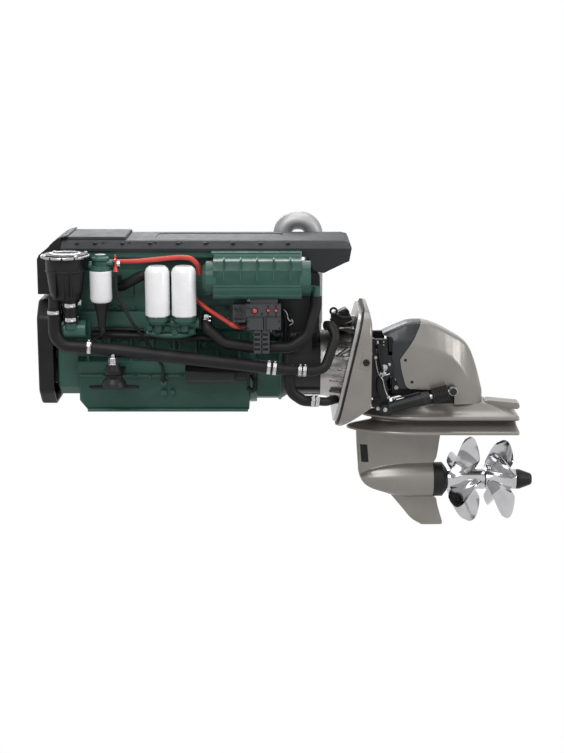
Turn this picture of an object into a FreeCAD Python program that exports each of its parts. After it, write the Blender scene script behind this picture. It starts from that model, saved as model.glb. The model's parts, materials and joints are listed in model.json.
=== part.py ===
# Inboard diesel engine with a stern drive, built as separate named pieces.
# Frame: +X runs aft, +Y to starboard, +Z up; the origin is the centre of the transom bolt circle,
# on the crankshaft's line. Sizes are in millimetres and degrees.
import FreeCAD, Part
import math
import os
import re

import Sketcher
from FreeCAD import Placement, Rotation, Vector

SIZES = {
    # transom shield; the transom leans aft, and the shield's own frame leans with it
    "transom_lean": 12.5,
    "shield_half_width": 215.0,
    "shield_top": 248.0,
    "shield_bottom": -236.0,
    "shield_corner": 112.0,
    "shield_aft_x": 80.0,
    "shield_wall": 12.0,
    "shield_bolt_circle": 340.0,
    "shield_bolt_count": 6,
    "shield_bolt_radius": 6.6,
    "cavity_radius": 186.0,
    "cavity_half_width": 112.0,
    "cavity_floor": -137.0,
    "cavity_top": 208.0,
    "tongue_radius": 60.0,
    "exhaust_z": -84.0,
    "seal_thick": 7.0,
    "seal_inset": 16.0,
    # steering axis: it leans as the transom does, and meets the crankshaft's line at steer_x
    "steer_x": 55.0,
    "pivot_radius": 14.0,
    "running_gap": 0.05,
    "face_gap": 0.4,
    "crown_low": 76.0,
    "crown_thick": 22.0,
    "bracket_thick": 19.0,
    "arm_inner": 80.0,
    "arm_thick": 19.0,
    "crossbar_thick": 22.0,
    # tilt axis, square to the drive's centre plane
    "tilt_x": 135.0,
    "tilt_pin_radius": 13.0,
    "ear_thick": 18.0,
    "ear_radius": 31.0,
    # trim cylinders
    "trim_y": 126.0,
    "trim_front_x": 138.0,
    "trim_front_z": -161.0,
    "trim_rear_x": 404.0,
    "trim_rear_z": -88.0,
    "trim_pin_radius": 9.0,
    "trim_eye_radius": 19.0,
    "barrel_radius": 23.0,
    "barrel_length": 182.0,
    "barrel_bore": 13.6,
    "rod_radius": 10.0,
    "rod_length": 226.0,
    "boot_inner": 27.0,
    "boot_radius": 32.0,
    "boot_length": 66.0,
    "boot_seat": 18.5,
    # drive head
    "housing_front": 168.0,
    "housing_half": 68.0,
    "cowl_low": -152.0,
    "cowl_wall": 4.0,
    "recess_half": 38.0,
    "recess_radius": 142.0,
    # drive leg
    "prop_z": -484.0,
    "plate_top": -200.0,
    "plate_low": -268.0,
    "plate_aft": 672.0,
    "torpedo_radius": 68.0,
    "leg_half_width": 38.0,
    "skeg_low": -676.0,
    "ring_x": 343.0,
    "ring_length": 56.0,
    "ring_radius": 69.0,
    "hub_radius": 41.0,
    "front_hub_length": 152.0,
    "rear_hub_length": 124.0,
    "prop_gap": 3.0,
    "front_prop_radius": 176.0,
    "rear_prop_radius": 164.0,
    "outer_shaft_radius": 26.0,
    "inner_shaft_radius": 15.0,
    "cone_length": 64.0,
    # engine
    "block_front": -1064.0,
    "block_back": -394.0,
    "block_half": 150.0,
    "block_top": 255.0,
    "pan_top": -15.0,
    "pan_low": -165.0,
    "head_half": 138.0,
    "head_top": 452.0,
    "cover_front": -1112.0,
    "cover_joint": -193.0,
    "cover_half": 190.0,
    "cover_top": 508.0,
    "cover_low": 472.0,
    "cover_wall": 5.0,
    "bell_radius": 124.0,
    "bell_front": -240.0,
    "bell_back": -117.0,
    "flywheel_radius": 148.0,
    # filters and strainer
    "filter_y": -280.0,
    "oil_filter_radius": 46.5,
    "oil_filter_pitch": 100.0,
    "oil_filter_x": -738.0,
    "oil_filter_low": 238.0,
    "oil_filter_height": 190.0,
    "fuel_filter_radius": 42.0,
    "fuel_filter_x": -950.0,
    "fuel_filter_low": 290.0,
    "fuel_filter_height": 122.0,
    "strainer_x": -1081.0,
    "strainer_y": -285.0,
    "strainer_radius": 74.0,
    "strainer_low": 306.0,
    "strainer_top": 460.0,
    "strainer_wall": 5.0,
    "lid_radius": 86.0,
    "lid_thick": 16.0,
    # port side pieces
    "exchanger_front": -566.0,
    "exchanger_back": -160.0,
    "exchanger_low": 308.0,
    "exchanger_high": 474.0,
    "exchanger_out": -330.0,
    "exchanger_in": -192.0,
    "box_front": -403.0,
    "box_back": -272.0,
    "box_low": 190.0,
    "box_high": 290.0,
    "box_out": -330.0,
    "box_in": -262.0,
    "main_button_radius": 8.0,
    "small_button_radius": 5.0,
    "button_travel": 3.0,
    "hose_radius": 27.0,
    "dipstick_radius": 3.0,
    "dipstick_tube_radius": 6.0,
    "crank_nose_radius": 20.0,
    "alternator_y": 206.0,
    "alternator_z": 206.0,
    "alternator_shaft_radius": 9.0,
    "mount_x": -908.0,
    "mount_y": 296.0,
    "mount_hole_reach": 72.0,
    "mount_hole_radius": 6.5,
}

doc = FreeCAD.newDocument("stern_drive")
sheet = doc.addObject("Spreadsheet::Sheet", "dims")
for row, (word, size) in enumerate(SIZES.items(), start=1):
    sheet.set(f"A{row}", word)
    sheet.set(f"B{row}", str(size))
    sheet.setAlias(f"B{row}", word)
doc.recompute()

WORDS = re.compile(r"[a-z_][a-z_0-9]*")
NODES = {}
AFT = Vector(1, 0, 0)
STARBOARD = Vector(0, 1, 0)
UP = Vector(0, 0, 1)


def expr(size):
    """A size or a sum of named sizes, as an expression on the sheet."""
    return WORDS.sub(lambda found: "dims." + found.group() if found.group() in SIZES else found.group(),
                     str(size))


def value(size):
    """The number that a named size or a sum of them stands for."""
    if isinstance(size, (int, float)):
        return float(size)
    return float(sheet.evalExpression(expr(size)))


def add(kind, name, **sizes):
    """A new object whose properties follow the sheet."""
    item = doc.addObject(kind, name)
    for prop, size in sizes.items():
        item.setExpression(prop, expr(size))
    return item


def put(item, x=0, y=0, z=0, turn=None):
    """Sets an object's place from the sheet, after an optional fixed turn."""
    if turn is not None:
        item.Placement = Placement(Vector(), turn)
    for letter, size in zip("xyz", (x, y, z)):
        item.setExpression("Placement.Base." + letter, expr(size))
    return item


def lean(item):
    """Leans an object made upright in the shield's own frame onto the transom."""
    item.Placement = Placement(Vector(), Rotation(STARBOARD, value("transom_lean")))
    item.setExpression("Placement.Rotation.Angle", expr("transom_lean"))
    return item


def box(name, xs, ys, zs):
    """A block between two planes along each axis."""
    item = add("Part::Box", name, Length=f"{xs[1]} - ({xs[0]})", Width=f"{ys[1]} - ({ys[0]})",
               Height=f"{zs[1]} - ({zs[0]})")
    return put(item, xs[0], ys[0], zs[0])


def rod(name, start, along, radius, length):
    """A cylinder from a start point along an axis."""
    item = add("Part::Cylinder", name, Radius=radius, Height=length)
    return put(item, *start, turn=Rotation(UP, along))


def cone(name, start, along, radius, end_radius, length):
    """A frustum from a start point along an axis."""
    item = add("Part::Cone", name, Radius1=radius, Radius2=end_radius, Height=length)
    return put(item, *start, turn=Rotation(UP, along))


def ring(name, centre, along, radius, bar):
    """A torus round an axis."""
    item = add("Part::Torus", name, Radius1=radius, Radius2=bar)
    return put(item, *centre, turn=Rotation(UP, along))


def fuse(name, items):
    item = doc.addObject("Part::MultiFuse", name)
    item.Shapes = list(items)
    item.Refine = True
    return item


def group(name, items):
    """Separate solids of one kind kept in one sub-part."""
    item = doc.addObject("Part::Compound", name)
    item.Links = list(items)
    return item


def cut(name, base, tools):
    tools = list(tools)
    item = doc.addObject("Part::Cut", name)
    item.Base = base
    item.Tool = tools[0] if len(tools) == 1 else fuse(name + "_tools", tools)
    item.Refine = True
    return item


def common(name, first, second):
    item = doc.addObject("Part::Common", name)
    item.Base = first
    item.Tool = second
    item.Refine = True
    return item


def fillet(name, base, radius, wanted):
    """Rounds the edges of an object that a test picks by their middle, direction and length."""
    doc.recompute()
    picked = []
    for index, edge in enumerate(base.Shape.Edges, start=1):
        middle = edge.valueAt((edge.FirstParameter + edge.LastParameter) / 2)
        ends = edge.Vertexes
        run = (ends[-1].Point - ends[0].Point) if len(ends) > 1 else Vector()
        if run.Length > 0:
            run = run.normalize()
        if wanted(middle, run, edge.Length):
            picked.append((index, value(radius), value(radius)))
    item = doc.addObject("Part::Fillet", name)
    item.Base = base
    item.Edges = picked
    return item


def outline(body, plane, points):
    """A closed sketch of straight lines on one of a body's own planes, every corner tied to the sheet."""
    sketch = body.newObject("Sketcher::SketchObject", body.Name + "_outline")
    face = [item for item in body.Origin.OriginFeatures if item.Role == plane][0]
    sketch.AttachmentSupport = [(face, "")]
    sketch.MapMode = "FlatFace"
    spots = [Vector(value(x), value(y), 0) for x, y in points]
    for here, there in zip(spots, spots[1:] + spots[:1]):
        sketch.addGeometry(Part.LineSegment(here, there), False)
    count = len(spots)
    for side in range(count):
        sketch.addConstraint(Sketcher.Constraint("Coincident", side, 2, (side + 1) % count, 1))
    for side, (x, y) in enumerate(points):
        for kind, size in (("DistanceX", x), ("DistanceY", y)):
            number = sketch.addConstraint(Sketcher.Constraint(kind, -1, 1, side, 1, value(size)))
            sketch.setExpression(f"Constraints[{number}]", expr(size))
    return sketch


def pad(name, plane, points, low, high):
    """A profile on the XY, XZ or YZ plane, drawn out between two planes square to it."""
    body = doc.addObject("PartDesign::Body", name)
    feature = body.newObject("PartDesign::Pad", name + "_pad")
    feature.Profile = outline(body, plane + "_Plane", points)
    feature.setExpression("Length", expr(f"{high} - ({low})"))
    place = {"XY": (0, 0, low), "XZ": (0, high, 0), "YZ": (low, 0, 0)}[plane]
    return put(body, *place)


def revolve(name, plane, points, axis="V_Axis", place=(0, 0, 0)):
    """A profile turned right round its sketch's own axis."""
    body = doc.addObject("PartDesign::Body", name)
    feature = body.newObject("PartDesign::Revolution", name + "_turned")
    sketch = outline(body, plane + "_Plane", points)
    feature.Profile = sketch
    feature.ReferenceAxis = (sketch, [axis])
    feature.Angle = 360
    return put(body, *place)


def shape(name, made, place=(0, 0, 0)):
    """A form that only its own curves describe."""
    item = doc.addObject("Part::Feature", name)
    item.Shape = made
    return put(item, *place)


def seated(name, item, *neighbours):
    """The object cut back to the faces of the sub-parts it is fastened to."""
    return cut(name, item, [shape(f"{name}_at_{number}", solid_of(other))
                            for number, other in enumerate(neighbours)])


def solid_of(name):
    """A finished sub-part's form where it stands."""
    doc.recompute()
    return NODES[name].Shape.copy()


def node(name, item):
    """Names an object as one of the drive's sub-parts."""
    item.Label = name
    NODES[name] = item
    return item


def route(points, radius_limit=None):
    """Straight runs joined by tangent arcs, each as large as its two runs allow."""
    spots = [Vector(*point) for point in points]
    edges = []
    here = spots[0]
    for before, corner, after in zip(spots, spots[1:], spots[2:]):
        back = (before - corner)
        ahead = (after - corner)
        half_turn = (math.pi - back.getAngle(ahead)) / 2
        reach = 0.45 * min(back.Length, ahead.Length)
        if radius_limit is not None:
            reach = min(reach, radius_limit * math.tan(half_turn))
        start = corner + back.normalize() * reach
        end = corner + ahead.normalize() * reach
        bisector = (back + ahead).normalize()
        radius = reach / math.tan(half_turn)
        centre = corner + bisector * (radius / math.cos(half_turn))
        middle = centre - bisector * radius
        edges.append(Part.LineSegment(here, start).toShape())
        edges.append(Part.Arc(start, middle, end).toShape())
        here = end
    edges.append(Part.LineSegment(here, spots[-1]).toShape())
    return Part.Wire(edges)


def hose(name, points, radius, radius_limit=None):
    """A round bar swept along a route, as hoses, pipes and cables are."""
    path = route(points, radius_limit)
    start = Vector(*points[0])
    along = Vector(*points[1]) - start
    rim = Part.Wire(Part.makeCircle(value(radius), start, along))
    return shape(name, path.makePipeShell([rim], True, False))


def plan_wire(z, tip, full, aft, half, bulge=0.74):
    """A boat-shaped outline in plan: a pointed bow, curved sides and a square stern."""
    middle = tip + 0.42 * (full - tip)
    edges = []
    for side in (1, -1):
        bow = Vector(tip, 0, z)
        shoulder = Vector(full, side * half, z)
        curve = Part.Arc(bow, Vector(middle, side * half * bulge, z), shoulder).toShape()
        flank = Part.LineSegment(shoulder, Vector(aft, side * half, z)).toShape()
        edges.append((curve, flank))
    stern = Part.LineSegment(Vector(aft, half, z), Vector(aft, -half, z)).toShape()
    return Part.Wire([edges[0][0], edges[0][1], stern, edges[1][1], edges[1][0]])


# Places that several sub-parts share, in the shield's own frame unless they say otherwise
STEER_U = "steer_x * cos(transom_lean)"
CROWN_TOP = "crown_low + crown_thick"
BRACKET_LOW = "crown_low + crown_thick + face_gap"
BAR_LOW = "cavity_floor + face_gap"
ARM_OUTER = "arm_inner + arm_thick"
EAR_INNER = "arm_inner - 2 - ear_thick"
FULL_LOCK = 24
BARREL_SHARE = 0.775
TRIM_ANGLE = "atan2(trim_rear_z - trim_front_z; trim_rear_x - trim_front_x)"


def aft_of_shield(w):
    """Depth, square to the transom, of the shield's upright aft face at a height up the transom."""
    return f"(shield_aft_x - ({w}) * sin(transom_lean)) / cos(transom_lean)"


def bolt_holes(name, low, high, radius="shield_bolt_radius"):
    """The six transom bolts' holes."""
    holes = []
    count = int(value("shield_bolt_count"))
    for number in range(count):
        angle = math.radians(360 / count * number)
        y = f"shield_bolt_circle / 2 * {math.cos(angle):.9f}"
        z = f"shield_bolt_circle / 2 * {math.sin(angle):.9f}"
        holes.append(rod(f"{name}_hole{number}", (low, y, z), AFT, radius, f"{high} - ({low})"))
    return holes


def shield_slab(name, low, high, inset="0"):
    """The shield's rounded outline between two depths."""
    slab = box(name + "_slab", (low, high), (f"-shield_half_width + {inset}", f"shield_half_width - {inset}"),
               (f"shield_bottom + {inset}", f"shield_top - {inset}"))
    return fillet(name + "_round", slab, f"shield_corner - {inset}", lambda middle, run,
                  size: abs(run.x) > 0.9)


def lean_at_wall(name, z, radius):
    """A disc in the shield's wall round an opening at a height on the drive's centre plane."""
    disc = rod(name, (0, 0, f"{z} / cos(transom_lean)"), AFT, radius, "shield_wall")
    return lean(group(name + "_lean", [disc]))


def transom_shield():
    side = pad("shield_side", "XZ", [
        ("0", "shield_bottom"),
        ("5", "shield_bottom"),
        (aft_of_shield("shield_bottom * 0.5") + " - 4", "shield_bottom * 0.5"),
        (aft_of_shield("shield_bottom * 0.43"), "shield_bottom * 0.43"),
        (aft_of_shield("shield_top - 46"), "shield_top - 46"),
        ("20", "shield_top - 8"),
        ("0", "shield_top"),
    ], "-shield_half_width", "shield_half_width")
    body = common("shield_body", shield_slab("shield", "0", "shield_half_width"), side)
    soft = fillet("shield_soft", body, 12, lambda middle, run, size: middle.x > 30 and abs(middle.y) > 90
                  and middle.z > -100)
    deep = "shield_wall"
    dish = common("shield_dish",
                  rod("dish_round", (STEER_U, 0, "cavity_floor"), UP, "cavity_radius",
                      "crown_low + 44 - cavity_floor"),
                  box("dish_back", (deep, "shield_half_width"), ("-cavity_radius", "cavity_radius"),
                      ("cavity_floor", "crown_low + 44")))
    upper = box("dish_upper", (deep, "shield_half_width"), ("-cavity_half_width", "cavity_half_width"),
                ("crown_low + 40", "cavity_top"))
    sweep = cut("dish_sweep",
                rod("sweep_out", (STEER_U, 0, "shield_bottom"), UP, "cavity_radius",
                    "cavity_floor + 1 - shield_bottom"),
                [rod("sweep_in", (STEER_U, 0, "shield_bottom"), UP, "tongue_radius",
                     "cavity_floor + 1 - shield_bottom")])
    sweep = common("dish_sweep_aft", sweep,
                   box("sweep_box", ("shield_wall + 28", "shield_half_width"),
                       ("-shield_half_width", "shield_half_width"), ("shield_bottom", "cavity_floor + 1")))
    shaft_hole = rod("shaft_hole", (-1, 0, 0), AFT, 44, "shield_wall + 2")
    exhaust_hole = rod("exhaust_hole", (-1, 0, "exhaust_z + 4"), AFT, 26, "shield_wall + 2")
    hollow = cut("shield_hollow", soft, [dish, upper, sweep, shaft_hole, exhaust_hole]
                 + bolt_holes("shield", "-1", "shield_wall + 29"))
    arm = box("bracket_arm", (deep, STEER_U), (-18, 18), (BRACKET_LOW, f"{BRACKET_LOW} + bracket_thick"))
    web = box("bracket_web", (f"{deep} - 1", f"{deep} + 14"), (-18, 18),
              (f"{BRACKET_LOW} + 1", f"{BRACKET_LOW} + bracket_thick + 24"))
    boss = rod("bracket_boss", (STEER_U, 0, BRACKET_LOW), UP, "pivot_radius + 9", "bracket_thick")
    joined = fuse("shield_joined", [hollow, arm, web, boss])
    upper_bore = rod("upper_bore", (STEER_U, 0, CROWN_TOP), UP, "pivot_radius + running_gap",
                     "bracket_thick + 8")
    lower_bore = rod("lower_bore", (STEER_U, 0, "cavity_floor - 20"), UP, "pivot_radius + running_gap", 30)
    casting = lean(cut("shield_casting", joined, [upper_bore, lower_bore]))
    spigots = []
    for name, z, radius in (("shaft", "0", 39.6), ("exhaust", "exhaust_z", 21.6)):
        start = f"({z}) * tan(transom_lean) + 4"
        spigots.append(cut(f"spigot_{name}", rod(f"spigot_out_{name}", (start, 0, z), AFT, radius,
                                                 f"38 - ({start})"),
                           [rod(f"spigot_in_{name}", (-30, 0, z), AFT, radius - 5, 80)]))
        plate = cut(f"spigot_plate_{name}", lean_at_wall(f"spigot_disc_{name}", z, radius + 7),
                    [rod(f"spigot_way_{name}", (-20, 0, z), AFT, radius - 5, 60)])
        spigots.append(plate)
    whole = fuse("shield_whole", [casting] + spigots)
    node("transom_shield", cut("transom_shield", whole, [cylinder_passing("cylinder_room")]))
    seal = cut("shield_seal", shield_slab("seal", "-seal_thick", "0", "2"),
               [rod("seal_shaft", ("-seal_thick - 1", 0, 0), AFT, 112, "seal_thick + 2"),
                rod("seal_exhaust", ("-seal_thick - 1", 0, -88), AFT, 60, "seal_thick + 2")]
               + bolt_holes("seal", "-seal_thick - 1", "1", "shield_bolt_radius + 1.4"))
    node("shield_seal", lean(seal))


def cylinder_passing(name):
    """Each trim cylinder at full lock as the drive tilts up, for room in the shield's rim."""
    places = []
    for side in (-1, 1):
        for tilt in (16, 27, 38):
            tube = Part.makeCylinder(value("barrel_radius") + 3.5, value("barrel_length") - 10,
                                     Vector(10, 0, 0), AFT)
            tube.rotate(Vector(), Vector(0, -1, 0), value(TRIM_ANGLE) + BARREL_SHARE * tilt)
            tube.translate(Vector(value("trim_front_x"), side * value("trim_y"), value("trim_front_z")))
            axis = Rotation(STARBOARD, value("transom_lean")).multVec(UP)
            tube.rotate(Vector(value("steer_x"), 0, 0), axis, side * FULL_LOCK)
            places.append(tube)
    return shape(name, places[0].fuse(places[1:]))


def inner_shield():
    """Polished casting between the transom and the engine's coupling bell."""
    flange_back = "-seal_thick"
    flange_front = "-seal_thick - 14"
    flange = lean(group("inner_flange", [shield_slab("inner", flange_front, flange_back, "seal_inset")]))
    studs = lean(group("inner_studs", bolt_holes("inner", "-90", "-seal_thick + 1",
                                                 "shield_bolt_radius + 1.4")))
    half = "shield_half_width - seal_inset - 24"
    funnel = cone("inner_funnel", ("bell_back + 16", 0, 0), AFT, "bell_radius + 8", "shield_half_width - 40",
                  "-bell_back + 20")
    rim = rod("inner_rim", ("bell_back", 0, 0), AFT, "bell_radius + 8", 16)
    ribs = []
    for number in range(7):
        z = 152 - 50 * number
        ribs.append(box(f"inner_rib{number}", ("bell_back + 34", 40), (f"-({half})", half), (z - 5, z + 5)))
    spine = box("inner_spine", ("bell_back + 34", 40), (-9, 9), (-190, 190))
    keep = box("inner_keep", (-300, f"{flange_front} + 4"), (-400, 400), (-400, 400))
    keep = lean(group("inner_keep_lean", [keep]))
    limit = cone("inner_limit", ("bell_back + 16", 0, 0), AFT, "bell_radius + 22", 232, "-bell_back + 60")
    body = common("inner_body", common("inner_ribbed", fuse("inner_rough", [funnel, rim, spine] + ribs),
                                       fuse("inner_bound", [limit, rim])), keep)
    passage = rod("inner_passage", ("bell_back - 1", 0, 0), AFT, 92, 190)
    eye_plate = box("eye_plate", (-76, -46), (-84, -77), (128, 214))
    eye_disc = rod("eye_disc", (-66, -84, 222), STARBOARD, 14, 7)
    eye_hole = rod("eye_hole", (-66, -85, 222), STARBOARD, 8, 9)
    eye = cut("inner_eye", fuse("inner_eye_joined", [eye_plate, eye_disc]), [eye_hole])
    node("inner_shield", fuse("inner_shield", [cut("inner_cast", fuse("inner_joined", [body, flange]),
                                                   [passage, studs]), eye]))


def steering_actuator():
    """Steering motor on the head of the inner casting."""
    case = box("actuator_case", (-34, 34), (-44, 22), (0, 44))
    cap = box("actuator_cap", (-30, 30), (-40, 18), (44, 52))
    motor = rod("actuator_motor", (-46, -12, 20), AFT, 17, 14)
    body = fuse("actuator_joined", [case, cap, motor])
    body.Placement = Placement(Vector(), Rotation(STARBOARD, -26))
    put(body, -22, -14, 168)
    node("steering_actuator", seated("steering_actuator", body, "inner_shield"))


def steering_fork():
    """Forged frame that turns in the shield and carries the drive between its arms."""
    swept = [(f"{STEER_U} - 20", -46), (f"{STEER_U} + 9", f"-({ARM_OUTER})"),
             (f"{STEER_U} + 24", f"-({ARM_OUTER})"),
             (f"{STEER_U} + 18", -40), (f"{STEER_U} + 18", 40), (f"{STEER_U} + 24", ARM_OUTER),
             (f"{STEER_U} + 9", ARM_OUTER), (f"{STEER_U} - 20", 46)]
    crown = pad("fork_crown", "XY", swept, "crown_low", CROWN_TOP)
    top_pin = rod("fork_top_pin", (STEER_U, 0, "crown_low + 4"), UP, "pivot_radius",
                  "crown_thick + bracket_thick - 5")
    bar = pad("fork_bar", "XY", swept, BAR_LOW, f"{BAR_LOW} + crossbar_thick")
    low_pin = rod("fork_low_pin", (STEER_U, 0, "cavity_floor - 18"), UP, "pivot_radius", 26)
    links = [box(f"fork_link{side}", (f"{STEER_U} + 9", f"{STEER_U} + 76"), ys,
                 (BAR_LOW, f"{BAR_LOW} + crossbar_thick"))
             for side, ys in enumerate((("arm_inner - 14", ARM_OUTER),
                                        (f"-({ARM_OUTER})", "-(arm_inner - 14)")))]
    upright = lean(fuse("fork_upright", [crown, top_pin, bar, low_pin] + links))
    sides = [
        (80, 68), (86, 104), (96, 113), ("tilt_x + 9", 113), ("tilt_x + 12", 52), ("tilt_x + 34", 16),
        ("tilt_x + 34", -16), ("tilt_x + 8", -56), ("trim_front_x + 22", "trim_front_z + 14"),
        ("trim_front_x + 18", "trim_front_z - 18"), ("trim_front_x - 22", "trim_front_z - 26"),
        ("trim_front_x - 42", "trim_front_z + 2"), (86, -96), (88, 20), (82, 52),
    ]
    port = pad("fork_port", "XZ", sides, f"-({ARM_OUTER})", "-arm_inner")
    starboard = pad("fork_starboard", "XZ", sides, "arm_inner", ARM_OUTER)
    holes = [rod("fork_tilt_hole", ("tilt_x", -120, 0), STARBOARD, "tilt_pin_radius", 240),
             rod("fork_trim_hole", ("trim_front_x", -120, "trim_front_z"), STARBOARD, "trim_pin_radius", 240)]
    node("steering_fork", cut("steering_fork", fuse("fork_joined", [upright, port, starboard]), holes))


def fork_pins():
    pins = []
    for side, name in ((-1, "port"), (1, "starboard")):
        start = f"{side} * ({EAR_INNER})"
        along = Vector(0, side, 0)
        tilt = rod(f"tilt_pin_{name}", ("tilt_x", start, 0), along, "tilt_pin_radius",
                   "ear_thick + 2 + arm_thick + 4")
        head = rod(f"tilt_head_{name}", ("tilt_x", f"{side} * ({ARM_OUTER} + 0.2)", 0), along,
                   "tilt_pin_radius + 6", "4")
        trim = rod(f"trim_pin_{name}", ("trim_front_x", f"{side} * arm_inner", "trim_front_z"), along,
                   "trim_pin_radius", "trim_y + 14 - arm_inner")
        cap = rod(f"trim_cap_{name}", ("trim_front_x", f"{side} * (trim_y + 13)", "trim_front_z"), along,
                  "trim_pin_radius + 2", "3")
        pins += [fuse(f"tilt_pin_whole_{name}", [tilt, head]), fuse(f"trim_pin_whole_{name}", [trim, cap])]
    node("fork_pins", group("fork_pins", pins))


def along_trim(item, x, y, z):
    """Lays a piece made along +X on a trim cylinder's line."""
    item.Placement = Placement(Vector(), Rotation(Vector(0, -1, 0), value(TRIM_ANGLE)))
    item.setExpression("Placement.Rotation.Angle", expr(TRIM_ANGLE))
    for letter, size in zip("xyz", (x, y, z)):
        item.setExpression("Placement.Base." + letter, expr(size))
    return item


def trim_cylinders():
    for side, name in ((-1, "port"), (1, "starboard")):
        y = f"{side} * trim_y"
        eye = rod(f"barrel_eye_{name}", (0, -13, 0), STARBOARD, "trim_eye_radius", 26)
        neck = rod(f"barrel_neck_{name}", (6, 0, 0), AFT, 13, 14)
        tube = rod(f"barrel_tube_{name}", (16, 0, 0), AFT, "barrel_radius", "barrel_length - 16")
        collar = rod(f"barrel_collar_{name}", ("barrel_length - 24", 0, 0), AFT, "barrel_radius + 2.5", 14)
        port_boss = rod(f"barrel_port_{name}", (44, 0, 0), UP, 8, "barrel_radius + 7")
        bore = rod(f"barrel_bore_{name}", (30, 0, 0), AFT, "barrel_bore", "barrel_length")
        pin_hole = rod(f"barrel_pin_hole_{name}", (0, -30, 0), STARBOARD, "trim_pin_radius + running_gap", 60)
        barrel = cut(f"trim_barrel_{name}", fuse(f"barrel_joined_{name}",
                                                 [eye, neck, tube, collar, port_boss]),
                     [bore, pin_hole])
        node(f"trim_barrel_{name}", along_trim(barrel, "trim_front_x", y, "trim_front_z"))

        rod_eye = rod(f"rod_eye_{name}", (0, -13, 0), STARBOARD, "trim_eye_radius - 2", 26)
        stem = rod(f"rod_stem_{name}", ("-rod_length", 0, 0), AFT, "rod_radius", "rod_length - 10")
        rod_hole = rod(f"rod_pin_hole_{name}", (0, -20, 0), STARBOARD, "trim_pin_radius + running_gap", 40)
        ram = cut(f"trim_rod_{name}", fuse(f"rod_joined_{name}", [rod_eye, stem]), [rod_hole])
        node(f"trim_rod_{name}", along_trim(ram, "trim_rear_x", y, "trim_rear_z"))

        pleats = 7
        pitch = f"boot_length / {pleats}"
        points = [("-boot_seat - boot_length", "boot_inner"), ("-boot_seat - 5", "boot_inner"),
                  ("-boot_seat - 5", "rod_radius"), ("-boot_seat", "rod_radius"),
                  ("-boot_seat", "boot_radius - 2")]
        for number in range(pleats):
            points.append((f"-boot_seat - {pitch} * {number + 0.5}", "boot_radius"))
            points.append((f"-boot_seat - {pitch} * {number + 1}", "boot_radius - 3"))
        boot = revolve(f"trim_boot_{name}", "XY", points, "H_Axis")
        node(f"trim_boot_{name}", along_trim(boot, "trim_rear_x", y, "trim_rear_z"))


def bellows():
    """Pleated rubber sleeves over the drive shaft's joints and the exhaust."""
    def pleated(name, front, back, radius, depth, wall, pleats, z):
        points = [(front, f"{radius} - {depth} - {wall}"), (front, f"{radius} - {depth}")]
        for number in range(pleats):
            points.append((f"{front} + ({back} - {front}) * {(number + 0.5) / pleats:.6f}", radius))
            points.append((f"{front} + ({back} - {front}) * {(number + 1) / pleats:.6f}",
                           f"{radius} - {depth}"))
        points.append((back, f"{radius} - {depth} - {wall}"))
        return revolve(name, "XY", points, "H_Axis", (0, 0, z))
    sleeves = [pleated("joint_bellows", 25, "housing_front - 2", "50", "7", "3", 8, 0),
               pleated("exhaust_bellows", 3, "housing_front - 2", "29", "4", "3", 9, "exhaust_z")]
    node("bellows", group("bellows", sleeves))


def upper_housing():
    """Gear case at the head of the drive, with ears on the tilt pins."""
    side = [
        ("housing_front", 62), ("housing_front", 112), ("housing_front + 30", 140), (300, 146), (340, 128),
        (462, 40), (500, -40), (512, "cowl_low"), (240, "cowl_low"), (205, -122), ("housing_front", -112),
    ]
    block = pad("housing_block", "XZ", side, "-housing_half", "housing_half")
    soft = fillet("housing_soft", block, 16, lambda middle, run, size: abs(run.y) < 0.1 and middle.x > 200
                  and middle.z > -140)
    ears = []
    for side_sign, name in ((-1, "port"), (1, "starboard")):
        low = f"{side_sign} * ({EAR_INNER})"
        high = f"{side_sign} * ({EAR_INNER} + ear_thick)"
        ys = (low, high) if side_sign > 0 else (high, low)
        ears.append(rod(f"ear_round_{name}", ("tilt_x", ys[0], 0), STARBOARD, "ear_radius", "ear_thick"))
        ears.append(pad(f"ear_web_{name}", "XZ", [
            ("tilt_x", "-ear_radius"), ("housing_front + 20", "-ear_radius - 22"),
            ("housing_front + 20", "ear_radius + 22"), ("tilt_x", "ear_radius")], *ys))
    neck = rod("housing_neck", ("housing_front - 12", 0, 0), AFT, 36, 20)
    bosses = []
    for side_sign, name in ((-1, "port"), (1, "starboard")):
        bosses.append(rod(f"rear_boss_{name}",
                          ("trim_rear_x", f"{side_sign} * (housing_half - 4)", "trim_rear_z"),
                          Vector(0, side_sign, 0), "trim_pin_radius + 8", "trim_y - 14 - housing_half + 4"))
    inside = hull("housing_bound", cowl_stations(), value("cowl_wall") + 0.4)
    joined = fuse("housing_joined", [common("housing_fit", soft, inside), neck] + ears + bosses)
    relief = recess("housing")
    holes = [rod("ear_bore", ("tilt_x", -120, 0), STARBOARD, "tilt_pin_radius + running_gap", 240)]
    pins = []
    for side_sign, name in ((-1, "port"), (1, "starboard")):
        along = Vector(0, side_sign, 0)
        pin = rod(f"rear_pin_{name}", ("trim_rear_x", f"{side_sign} * (housing_half - 20)", "trim_rear_z"),
                  along,
                  "trim_pin_radius", "trim_y + 36 - housing_half")
        cap = rod(f"rear_cap_{name}", ("trim_rear_x", f"{side_sign} * (trim_y + 14)", "trim_rear_z"), along,
                  "trim_pin_radius + 5", 6)
        pins += [pin, cap]
    bored = cut("housing_bored", joined, [relief] + holes[:1])
    node("upper_housing", fuse("upper_housing", [bored] + pins))


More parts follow.
